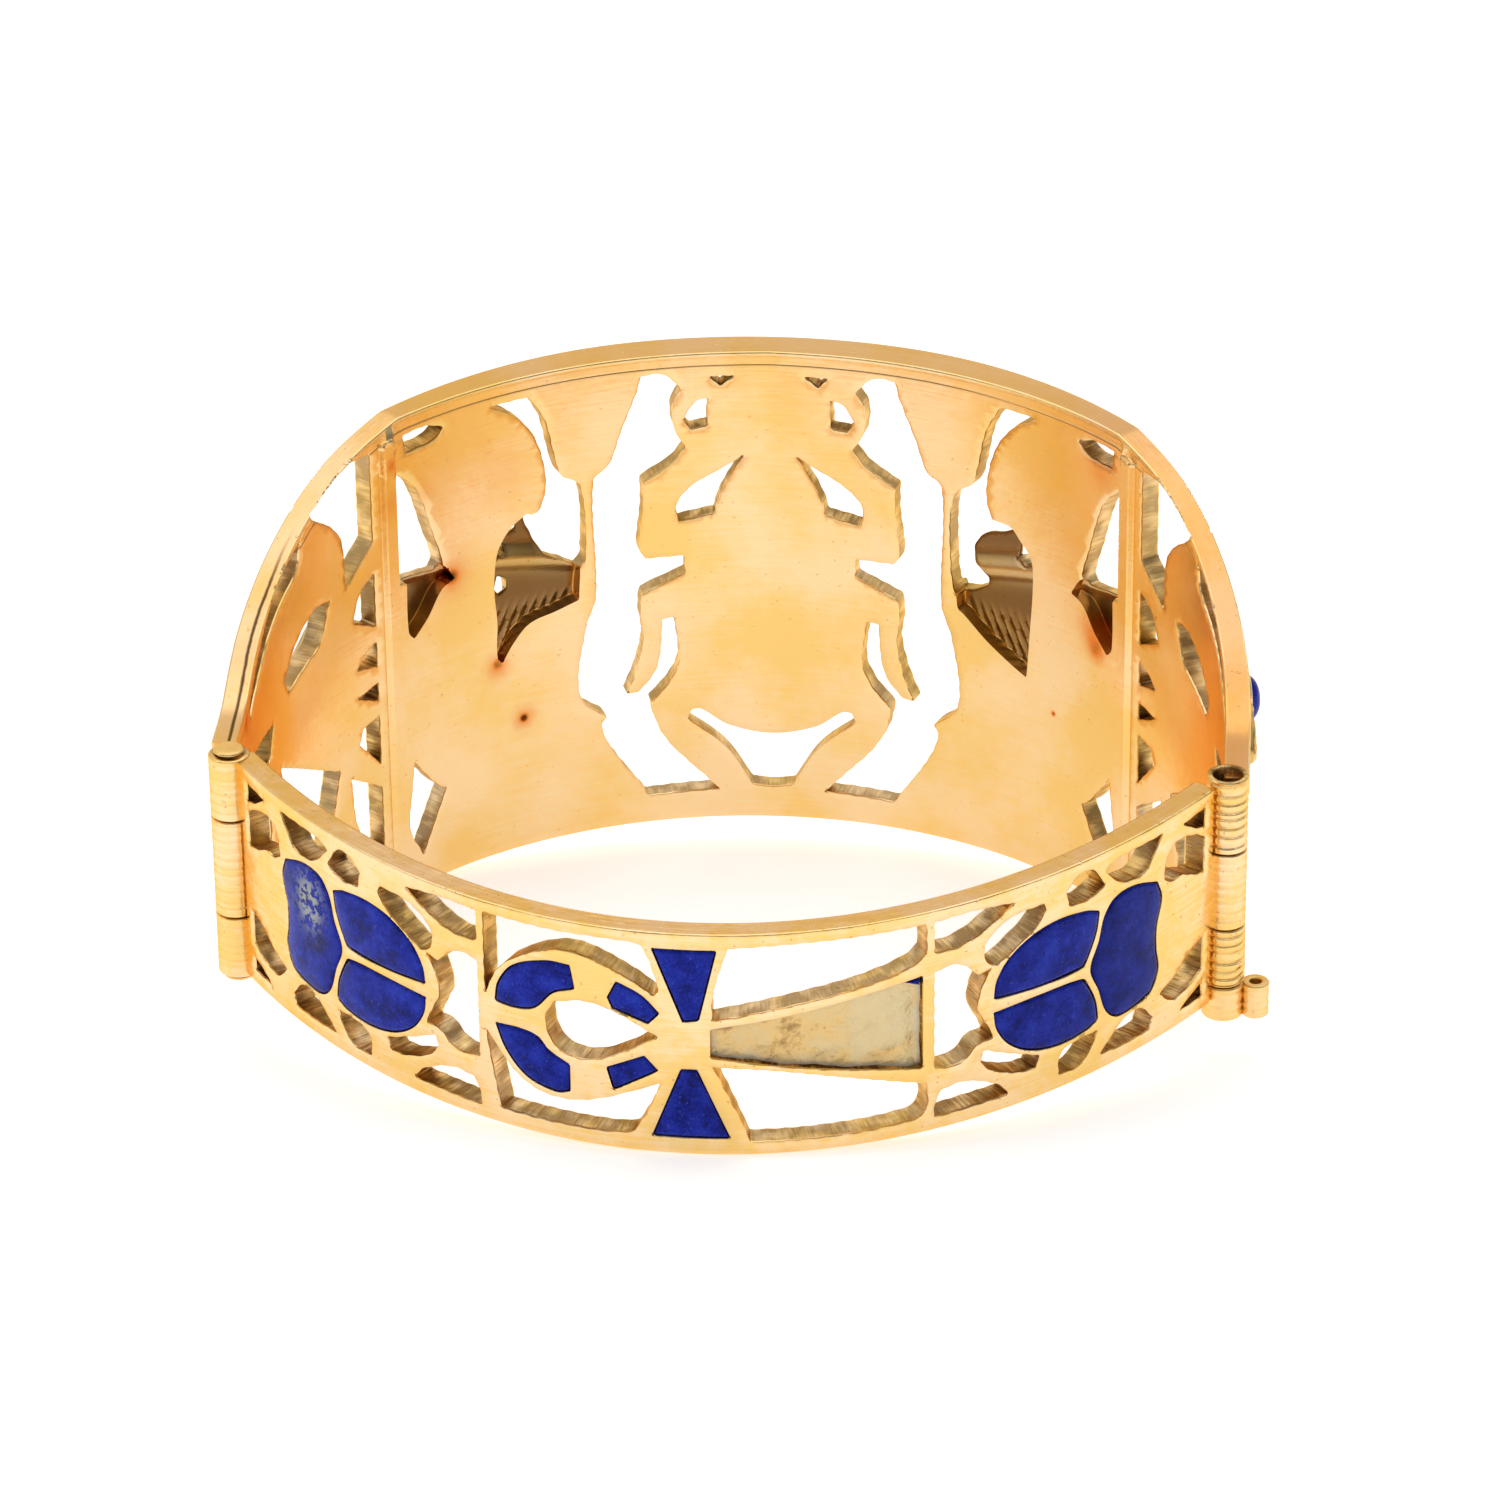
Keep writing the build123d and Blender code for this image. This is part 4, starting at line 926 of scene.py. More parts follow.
def gold_material(name, look, polish, marks):
    """Yellow gold: light and warm patches, brown in the cut walls, brown in the hollows as tarnish in
    carved lines and as painted shade at the relief's foot and in the wells, a darker line along the
    soldered seam, black tarnish in the open groove, and red-brown where solder was heated, with the same
    tint as painted shade on the right of the front rim."""
    material, shader, w = new_material(name)
    worn = w.nodes.new("ShaderNodeGroup")
    worn.node_tree = bpy.data.node_groups["worn_metal"]
    worn.inputs["Polish"].default_value = polish
    worn.inputs["Marks"].default_value = marks
    place = w.read("place", "Vector")
    w.links.new(place, worn.inputs["Place"])
    w.links.new(w.read("wall"), worn.inputs["Wall"])
    warmth = worn.outputs["Warmth"]
    colour = w.ramp(warmth, [(0.40, look.gold_light), (0.60, look.gold_warm)])
    colour = w.mix(worn.outputs["Dark"], colour, look.gold_dark)
    # painted shade at the relief's foot and in the wells, with tarnish in the carved lines
    colour = w.mix(w.times(w.read("hollow"), 0.93), colour, look.gold_dark)
    seam = w.ramp(w.read("below"), [(0.0, 0.0), (0.80, 0.0), (0.87, 0.55), (0.94, 0.0)])
    colour = w.mix(seam, colour, look.gold_seam)
    split = w.nodes.new("ShaderNodeSeparateXYZ")
    w.links.new(place, split.inputs[0])
    ragged = w.plus(split.outputs[2], w.times(warmth, 0.5))
    groove = w.ramp(ragged, [(0.60, 0.0), (0.68, 1.0), (0.78, 1.0), (0.88, 0.0)])
    colour = w.mix(w.times(groove, w.read("tarnish")), colour, look.gold_tarnished)
    # real heat tint round the solder spots, and painted shade on the right of the front rim
    tint = w.ramp(w.read("solder"), [(0.0, (1, 1, 1)), (0.45, look.gold_heat_and_shade), (1.0, look.gold_burnt)])
    w.links.new(w.mix(1.0, colour, tint, "MULTIPLY"), shader.inputs["Base Color"])
    w.links.new(worn.outputs["Roughness"], shader.inputs["Roughness"])
    w.raised(shader, w.minus(worn.outputs["Height"], w.times(seam, 0.06)))
    shader.inputs["Metallic"].default_value = 1.0
    shader.inputs["Specular Tint"].default_value = (1.0, 0.74, 0.44, 1)
    return material


def lapis_material(look):
    """Lapis lazuli: deep blue with lighter clouds and small pale grains, pale calcite where the piece has
    it, small dark pits, and painted shade on the back band's right-hand stones."""
    material, shader, w = new_material("lapis_lazuli")
    place = w.read("place", "Vector")
    cloud = w.noise(place, 0.6, 3, 0.65)
    grain = w.noise(place, 6.0, 2, 0.7)
    mixed = w.plus(w.times(cloud, 0.7), w.times(grain, 0.3))
    colour = w.ramp(mixed, [(0.36, look.lapis_deep), (0.48, look.lapis), (0.68, look.lapis_pale)])
    speck = w.ramp(w.noise(place, 4.4, 2, 0.6), [(0.64, 0.0), (0.74, 0.38)])
    colour = w.mix(speck, colour, look.lapis_speck)
    # painted shade: the right-hand stones darkened towards deep blue
    colour = w.mix(w.read("shade"), colour, look.lapis_deep)
    vein = w.ramp(w.noise(place, 1.6, 4, 0.7), [(0.47, 0.0), (0.53, 1.0)])
    patch = w.times(vein, w.read("calcite"), True)
    colour = w.mix(patch, colour, w.mix(grain, look.calcite, look.calcite_dark))
    pit = w.ramp(w.noise(place, 2.6, 1, 0.5), [(0.72, 0.0), (0.75, 1.0)])
    colour = w.mix(w.times(pit, 0.7), colour, look.lapis_pit)
    w.links.new(colour, shader.inputs["Base Color"])
    rough = w.plus(w.plus(w.times(grain, 0.16), 0.10), w.times(patch, 0.25))
    w.links.new(rough, shader.inputs["Roughness"])
    w.raised(shader, w.minus(w.times(cloud, 0.05), w.times(pit, 0.05)))
    shader.inputs["Specular IOR Level"].default_value = 0.1
    return material


def glue_material(look):
    """Old glue in the empty cell: yellow grey over gold, stained brown in patches and grey blue along its
    edge."""
    material, shader, w = new_material("old_glue")
    place = w.read("place", "Vector")
    stains = w.plus(w.times(w.noise(place, 0.45, 4, 0.55), 0.8), w.times(w.noise(place, 4.0, 3, 0.6), 0.2))
    colour = w.ramp(stains, [(0.38, look.glue_stain), (0.47, look.glue), (0.66, look.glue_pale)])
    colour = w.mix(w.times(w.read("pale"), 0.8), colour, look.glue_pale)
    colour = w.mix(w.read("rim"), colour, look.glue_edge)
    w.links.new(colour, shader.inputs["Base Color"])
    shader.inputs["Roughness"].default_value = 0.35
    shader.inputs["Metallic"].default_value = 0.5
    w.raised(shader, w.times(stains, 0.3))
    return material


def floor_material():
    """A plain pale floor that is lit softly from below as well, as a photographer's light table is."""
    material, shader, _ = new_material("pale_floor")
    shader.inputs["Base Color"].default_value = (0.93, 0.92, 0.915, 1)
    shader.inputs["Roughness"].default_value = 0.8
    shader.inputs["Specular IOR Level"].default_value = 0.0
    shader.inputs["Emission Color"].default_value = (1.0, 0.995, 0.99, 1)
    shader.inputs["Emission Strength"].default_value = 0.55
    material.cycles.emission_sampling = "NONE"
    return material


# The add-on's settings

def colour_setting(name, words, value):
    """A colour property with its default."""
    return bpy.props.FloatVectorProperty(name=name, description=words, default=value, subtype="COLOR",
                                         size=3, min=0, max=1)


def size_setting(name, words, value, least=0.0):
    """A length property in metres."""
    return bpy.props.FloatProperty(name=name, description=words, default=value, min=least, unit="LENGTH")


def angle_setting(name, words, degrees):
    """An angle property."""
    return bpy.props.FloatProperty(name=name, description=words, default=math.radians(degrees),
                                   subtype="ANGLE")


def plain_setting(name, words, value):
    """A number that isn't negative."""
    return bpy.props.FloatProperty(name=name, description=words, default=value, min=0)


class BangleLook(bpy.types.PropertyGroup):
    """Colours and finishes."""
    gold_light: colour_setting("Gold", "The gold where it is polished", (0.94, 0.68, 0.37))
    gold_warm: colour_setting("Warm gold", "The gold's warmer patches", (0.90, 0.60, 0.20))
    # the cut gold also colours the painted shade in the wells and at the relief's foot
    gold_dark: colour_setting("Cut gold", "The gold in the sawn walls", (0.155, 0.070, 0.020))
    gold_seam: colour_setting("Seam", "The soldered seam under the rail", (0.30, 0.15, 0.05))
    gold_tarnished: colour_setting("Tarnish", "The open groove on the left rim", (0.035, 0.018, 0.008))
    # also colours the painted shade on the right of the front rim
    gold_heat_and_shade: colour_setting("Heated gold", "The tint beside solder", (0.85, 0.42, 0.20))
    gold_burnt: colour_setting("Burnt gold", "The tint in the middle of a heat spot", (0.10, 0.03, 0.01))
    lapis: colour_setting("Lapis", "The stone's main blue", (0.006, 0.016, 0.29))
    lapis_deep: colour_setting("Deep lapis", "The stone's darkest blue", (0.002, 0.005, 0.10))
    lapis_pale: colour_setting("Pale lapis", "The stone's lighter clouds", (0.020, 0.045, 0.50))
    lapis_speck: colour_setting("Lapis specks", "The stone's small pale grains", (0.10, 0.17, 0.62))
    lapis_pit: colour_setting("Lapis pits", "The stone's small holes", (0.004, 0.004, 0.02))
    calcite: colour_setting("Calcite", "The pale veins", (0.60, 0.64, 0.60))
    calcite_dark: colour_setting("Dark calcite", "The veins' dirty grain", (0.16, 0.17, 0.15))
    glue: colour_setting("Glue", "The old glue", (0.84, 0.57, 0.22))
    glue_edge: colour_setting("Glue edge", "The grey blue edge of the glue", (0.30, 0.33, 0.36))
    glue_pale: colour_setting("Pale glue", "The glue's pale patches", (0.76, 0.62, 0.35))
    glue_stain: colour_setting("Glue stain", "The glue's brown stains", (0.42, 0.25, 0.08))
    polish: bpy.props.FloatProperty(name="Polish", description="Roughness of the polished gold",
                                    default=0.17, min=0, max=1, subtype="FACTOR")


class BangleSizes(bpy.types.PropertyGroup):
    """Small sizes of the finish."""
    edge_round: size_setting("Edge rounding", "Radius of the metal's edges", 0.00013)
    stone_gap: size_setting("Stone gap", "Dark line round a stone", 0.00004)
    stone_dome: size_setting("Stone dome", "Rise of a flat stone's middle", 0.00008)
    stone_edge: size_setting("Stone edge", "Rounding of a stone's edge", 0.0002)
    rib_pitch: size_setting("Rib pitch", "Distance between the ribs of the clasp", 0.00055, 0.0001)


class BangleView(bpy.types.PropertyGroup):
    """The camera in the bangle's own frame and the light."""
    height: angle_setting("Height", "Camera's angle over the bangle's middle plane", 28.425)
    turn: angle_setting("Turn", "Camera's turn to the side", -4.442)
    roll: angle_setting("Roll", "Camera's tilt", -0.661)
    distance: size_setting("Distance", "Camera's distance", 0.4001)
    lens: plain_setting("Lens", "Focal length for a 36 mm sensor", 167.06)
    key: plain_setting("Key light", "Power of the large light", 1.3)
    fill: plain_setting("Fill light", "Power of the side lights", 0.3)
    bright_side: plain_setting("Bright side", "Room's brightness behind the bangle", 0.78)
    dark_side: plain_setting("Dark side", "Room's brightness behind the camera", 0.16)


# Operators

def floor_mesh():
    """The floor: flat, then bent up behind the bangle in a quarter circle, over a grid across and
    along."""
    across = np.linspace(-3, 3, 41)
    along = -2.5 + 4.5 * np.linspace(0, 1, 61)
    past = np.maximum(along - FLOOR_BEND_AT, 0)
    up = FLOOR_BEND_RADIUS - np.sqrt(np.maximum(FLOOR_BEND_RADIUS ** 2 - past ** 2, 0))
    x, k = np.meshgrid(across, np.arange(61))
    co = np.column_stack((x.ravel(), along[k].ravel(), up[k].ravel()))
    index = np.arange(len(co)).reshape(61, 41)
    quads = np.stack((index[:-1, :-1], index[:-1, 1:], index[1:, 1:], index[1:, :-1]), 2).reshape(-1, 4)
    mesh = bpy.data.meshes.new("floor")
    mesh.from_pydata(co.tolist(), [], quads.tolist())
    mesh.polygons.foreach_set("use_smooth", np.ones(len(quads), bool))
    mesh.materials.append(floor_material())
    return mesh


class StageOperator(bpy.types.Operator):
    """Makes the floor, the lights and the camera"""
    bl_idname = "bangle.stage"
    bl_label = "Stage"

    def execute(self, context):
        """Places each in turn."""
        view = context.scene.bangle_view
        floor = bpy.data.objects.new("floor", floor_mesh())
        context.scene.collection.objects.link(floor)
        self.camera(context, view)
        self.light(context, "top_light", (0.05, 0.1, 0.75), (0.9, 0.7), view.key)
        self.light(context, "left_light", (-0.65, -0.25, 0.35), (0.35, 0.5), view.fill * 1.5)
        self.light(context, "right_light", (0.65, -0.1, 0.35), (0.35, 0.5), view.fill * 0.5)
        self.light(context, "front_light", (0.0, -0.75, 0.45), (0.6, 0.3), view.fill)
        self.room(context, view)
        context.scene.view_settings.view_transform = "Standard"
        return {"FINISHED"}

    def camera(self, context, view):
        """The camera, turned in the bangle's upright frame and carried with it to the resting frame."""
        level = math.cos(view.height)
        forward = Vector((math.sin(view.turn) * level, math.cos(view.turn) * level, -math.sin(view.height)))
        right = Vector((math.cos(view.turn), -math.sin(view.turn), 0))
        over = right.cross(forward)
        side = math.cos(view.roll) * right + math.sin(view.roll) * over
        top = -math.sin(view.roll) * right + math.cos(view.roll) * over
        axes = Matrix((side, top, -forward)).transposed()
        data = bpy.data.cameras.new("camera")
        data.sensor_width = 36
        data.lens = view.lens
        data.clip_start = 0.01
        data.clip_end = 20
        camera = bpy.data.objects.new("camera", data)
        place = TURN @ (CAMERA_TARGET - forward * view.distance) + SHIFT
        camera.matrix_world = Matrix.LocRotScale(place, TURN @ axes, None)
        context.scene.collection.objects.link(camera)
        context.scene.camera = camera

    def light(self, context, name, place, size, power):
        """A soft box that looks at the bangle."""
        lamp = bpy.data.lights.new(name, "AREA")
        lamp.shape = "RECTANGLE"
        lamp.size, lamp.size_y = size
        lamp.energy = power
        obj = bpy.data.objects.new(name, lamp)
        obj.location = place
        obj.rotation_euler = (LIGHT_AIM - Vector(place)).to_track_quat("-Z", "Y").to_euler()
        context.scene.collection.objects.link(obj)

    def room(self, context, view):
        """A room bright behind the bangle and dim behind the camera: a ramp of one direction's share."""
        world = bpy.data.worlds.new("studio")
        world.use_nodes = True
        w = Wiring(world.node_tree)
        toward = w.nodes.new("ShaderNodeVectorMath")
        toward.operation = "DOT_PRODUCT"
        toward.inputs[1].default_value = BRIGHT_WAY
        w.links.new(w.nodes.new("ShaderNodeTexCoord").outputs["Generated"], toward.inputs[0])
        share = w.sums("MULTIPLY_ADD", toward.outputs["Value"], 0.5)
        shades = [(0.1, view.dark_side), (0.5, view.dark_side * 1.5), (0.75, view.bright_side * 0.85),
                  (1.0, view.bright_side)]
        w.links.new(w.ramp(share, shades), w.nodes["Background"].inputs[0])
        context.scene.world = world


def own_knuckles(reach, near, far, zones, half):
    """A plate's end from lower to upper corner: far out at its own knuckles, near at the others."""
    points = []
    for low, high, own in zones:
        end = far if own else near
        points += [(reach - end, max(low, -half)), (reach - end, min(high, half))]
    return points


def closed_run(points, pitch):
    """A closed line of straight runs, each divided evenly, corners kept."""
    p = np.array(points, float)
    q = np.roll(p, -1, 0)
    runs = []
    for a, b in zip(p, q):
        n = max(1, int(round(np.hypot(*(b - a)) / pitch)))
        runs.append(a + (b - a) * (np.arange(n) / n)[:, None])
    return np.vstack(runs)


class BackBandOperator(bpy.types.Operator):
    """Makes the narrow back half's metal"""
    bl_idname = "bangle.back_band"
    bl_label = "Back band"

    def execute(self, context):
        """A plate with windows sawn through it and cells sunk for the stones, and its three knuckles."""
        sizes = context.scene.bangle_sizes
        edge = sizes.edge_round * MM
        pitch = 0.17
        right = own_knuckles(BACK_REACH, CLEAR_RADIUS, 0.4, BACK_RIGHT_ZONES, BACK_HALF_HEIGHT)
        left = own_knuckles(BACK_REACH, CLEAR_RADIUS, 0.4, BACK_LEFT_ZONES, BACK_HALF_HEIGHT)
        outer = closed_run(right + [(-x, z) for x, z in left[::-1]], 0.22)
        windows = sawn(ANKH_WINDOWS, ANKH_PANEL, pitch)
        cells = rounded(ANKH_STONES.values(), ANKH_PANEL, pitch, 40)
        cells += rounded([ANKH_STEM], ANKH_PANEL, pitch, 30)
        for side in (-1, 1):
            windows += sawn(BACK_SIDE_WINDOWS, back_side(side), pitch)
            cells += rounded(BACK_SIDE_STONES.values(), back_side(side), pitch)
        shape = Shape()
        loops = [outer] + [w[::-1] for w in windows + cells]
        slab(shape, BACK, loops, lambda p: np.zeros(len(p)), lambda p: np.full(len(p), -BACK_THICKNESS),
             (0.03, edge), 0.55, edge, shared=1 + len(windows))
        add_knuckles(shape, BACK_KNUCKLES, sizes.rib_pitch * MM)
        shape.finish("back_band_metal", "back_half", "back_band", bpy.data.materials["worked_gold"], "gold")
        return {"FINISHED"}


def front_edge():
    """The front plate's closed outline: the tapering lower edge, the right end with its knuckles' reach,
    the upper edge and the left end."""
    near = FRONT_REACH - CLEAR_RADIUS
    right = [(near, -FRONT_END_HALF), (near, FRONT_RIGHT_ZONES[0][0])]
    right += own_knuckles(FRONT_REACH, CLEAR_RADIUS, 0.2, FRONT_RIGHT_ZONES, FRONT_END_HALF)
    left = own_knuckles(FRONT_REACH, CLEAR_RADIUS, 0.2, FRONT_LEFT_ZONES, FRONT_END_HALF)
    s = np.arange(-FRONT_REACH + CLEAR_RADIUS + 0.3, FRONT_REACH - CLEAR_RADIUS - 0.1, 0.25)
    top = np.column_stack((s, half_height(s)))[::-1]
    bottom = np.column_stack((s, -half_height(s)))
    outer = np.vstack((bottom, right, top, [(-x, z) for x, z in left[::-1]]))
    outer = outer[np.hypot(*(outer - np.roll(outer, 1, 0)).T) > 1e-3]
    return closed_run(outer, 0.25)


def front_fields():
    """Closed lines where the skins need finer points: the scarab's legs, the posts and the rails."""
    legs = closed_run([(-9.3, -14.2), (9.3, -14.2), (9.3, 14.2), (-9.3, 14.2)], 0.3)
    half = FRONT_POST_WIDTH / 2
    corners = ((-half, -15.6), (half, -15.6), (half, 15.2), (-half, 15.2))
    posts = [closed_run([(side * FRONT_POST_AT + dx, z) for dx, z in corners], 0.25) for side in (-1, 1)]
    s = np.arange(-FRONT_REACH + 1.5, FRONT_REACH - 1.5, 0.25)
    high = half_height(s)
    upper = (np.column_stack((s, high - FRONT_TOP_RAIL)), np.column_stack((s, high + 0.4))[::-1])
    lower = (np.column_stack((s, -high - 0.4)), np.column_stack((s, FRONT_BOTTOM_RAIL - high))[::-1])
    return legs, posts, [np.vstack(upper), np.vstack(lower)]


class FrontBandOperator(bpy.types.Operator):
    """Makes the tall front half's metal"""
    bl_idname = "bangle.front_band"
    bl_label = "Front band"

    def outlines(self):
        """The lines of the windows, the stones' cells, the raised forms and the inner face's wells."""
        pitch = 0.2
        windows = [smooth(in_panel(both_ways(SCARAB_TAIL), SCARAB_PANEL), pitch)]
        self.raised = [smooth(in_panel(both_ways(SCARAB_BODY), SCARAB_PANEL), pitch)]
        self.wells = []
        cells = rounded([FRONT_PRONOTUM], SCARAB_PANEL, pitch, 30)
        for side in (-1, 1):
            figure = figure_side(side)
            windows += sawn(SCARAB_WINDOWS, scarab_side(side), pitch)
            pierced = (FACE_LINE + HAND_LINES[side], *FIGURE_WINDOWS, *ARM_HOLES[side])
            windows += sawn(pierced, figure, pitch)
            windows += sawn(FRONT_SIDE_WINDOWS, flank_side(side), pitch)
            cells += rounded([FRONT_ELYTRON], scarab_side(side), pitch, 40)
            self.raised += rounded((FIGURE_HEAD, FIGURE_BODY, FIGURE_ARM, LOTUS), figure, pitch, 80)
            self.raised += rounded([FALCON], flank_side(side), pitch)
            self.wells += rounded((ARM_WELLS[side], BACK_WELL), figure, pitch)
        return windows, cells

    def relief(self, p):
        """How far the raised forms stand up, 0 to 1: steep at their outline, then slowly rising."""
        rise = np.zeros(len(p))
        for outline in self.raised:
            deep = depth_in(p, [outline])
            rise = np.maximum(rise, 0.86 * step(deep, -0.03, 0.25) + 0.14 * step(deep, 0.1, 1.4))
        return rise

    def outside(self, p):
        """The outer face's height: the plate with its relief less what is carved, the rails, which are
        thickest in the middle, and the posts, which are half round."""
        s, z = p.T
        high = half_height(s)
        rail = 1.5 + 1.0 * step(30 - np.abs(s), 0, 22)
        rise = self.relief(p)
        cut = engraving(s, z, rise)
        h = FRONT_THICKNESS + FRONT_RELIEF * rise - 0.16 * cut
        top_at, low_at = high - FRONT_TOP_RAIL, high - FRONT_BOTTOM_RAIL
        on_rail = np.maximum(step(z, top_at - 0.03, top_at + 0.03), step(-z, low_at - 0.03, low_at + 0.03))
        on_rail_height = FRONT_THICKNESS + (rail - FRONT_THICKNESS) * on_rail - 0.1 * cut
        h = np.where(on_rail > 0, np.maximum(h, on_rail_height), h)
        across = (np.abs(s) - FRONT_POST_AT) / (FRONT_POST_WIDTH / 2)
        post = (np.abs(across) < 1.04) * (np.abs(z) < high - 0.8)
        bulge = 0.45 + 0.55 * np.sqrt(np.clip(1 - across ** 2, 0, 1))
        return np.maximum(h, FRONT_THICKNESS + post * FRONT_RELIEF * bulge)

    def arm_ridge(self, p, width):
        """The arm's ridge and the ribs under it in a well, each 0 to 1: a bell curve and a wave."""
        s, z = p.T
        a = np.abs(s) - FIGURE_START
        ridge = np.exp(-((z - 2.6 - 0.22 * a) / width) ** 2) * step(a, 0.5, 1.5)
        return ridge, waves(a + 0.45 * z, 0.62) * step(1.2 - z, 0, 1.5)

    def in_wells(self, p, low, high):
        """Whether a place is in a well, with a soft edge."""
        return np.maximum.reduce([step(depth_in(p, [outline]), low, high) for outline in self.wells])

    def within(self, p):
        """The inner face's height: wells 1 mm deep with a ridge and ribs, the posts' flat ribs and a
        slight fold."""
        s, z = p.T
        across = np.abs(np.abs(s) - FRONT_POST_AT) / (FRONT_POST_WIDTH / 2)
        rib = 0.33 * step(1.06 - across, 0, 0.4)
        rib *= step(half_height(s) - z, 0.75, 0.95) * step(half_height(s) + z, 0.5, 0.7)
        ridge, ribs = self.arm_ridge(p, 0.8)
        fold = 0.13 * np.exp(-np.abs(s) / 2.2) * step(z, -12, -6)
        return self.in_wells(p, -0.03, 0.03) * (1.0 - 0.55 * ridge - 0.14 * ribs) - rib + fold

    def outer_values(self, p):
        """Dark in what is carved, as tarnish, and painted shade at the foot of the relief."""
        s, z = p.T
        rise = self.relief(p)
        # painted shade: darker where the relief rises from the plate
        foot = step(rise, 0.02, 0.2) * step(0.72 - rise, 0, 0.3)
        return {"hollow": np.maximum(0.72 * engraving(s, z, rise), 0.5 * foot), "below": NO_SEAM}

    def inner_values(self, p):
        """Painted shade in the wells, less on the arm's ridge and ribs, the distance below the top edge for
        the seam, and the heat spots, each a bell curve."""
        s, z = p.T
        ridge, ribs = self.arm_ridge(p, 0.9)
        # painted shade in the inner face's wells, less on the arm's ridge and ribs
        hollow = self.in_wells(p, 0.03, 0.14) * (1.0 - 0.55 * ridge - 0.25 * ribs)
        heat = sum(amount * np.exp(-((s - at) ** 2 + (z - up) ** 2) / size ** 2)
                   for at, up, size, amount in HEAT_SPOTS)
        return {"below": half_height(s) - z, "hollow": hollow, "solder": np.minimum(heat, 1)}

    def rim_values(self, p):
        """The outer edge's tint, with painted shade that makes it stronger to the right, and the tarnish on
        the upper left.
        """
        s, z = p[:, 0], p[:, 1]
        # painted shade: the edge's tint grows to the right, where the light is weaker
        return {"solder": RIM_TINT + 0.13 * step(s, 12, 34),
                "tarnish": step(-s, 34, 39) * step(z, 5, 6) * 0.9}

    def execute(self, context):
        """The plate with its relief and wells, and the knuckles as a piece of their own."""
        sizes = context.scene.bangle_sizes
        edge = sizes.edge_round * MM
        windows, cells = self.outlines()
        legs, posts, rails = front_fields()
        t = np.linspace(0, 2 * np.pi, 24, endpoint=False)
        discs = [np.column_stack((at + 1.6 * size * np.cos(t), up + 1.6 * size * np.sin(t)))
                 for at, up, size, _ in HEAT_SPOTS if size < 0.6]
        shape = Shape()
        loops = [front_edge()] + [w[::-1] for w in windows + cells]
        slab(shape, FRONT, loops, self.outside, self.within, (0.03, edge), 0.6, edge,
             shared=1 + len(windows), fine=self.raised + [legs] + posts + rails,
             fine_below=self.wells + discs + posts, fine_pitch=0.19,
             values=self.outer_values, values_below=self.inner_values, rim_values=self.rim_values)
        tubes = Shape()
        add_knuckles(tubes, FRONT_KNUCKLES, sizes.rib_pitch * MM)
        worked, smoothed = bpy.data.materials["worked_gold"], bpy.data.materials["smooth_gold"]
        tubes.finish("front_band_knuckles", "front_half", None, worked, "gold")
        shape.finish("front_band_metal", "front_half", "front_band", smoothed, "gold")
        return {"FINISHED"}


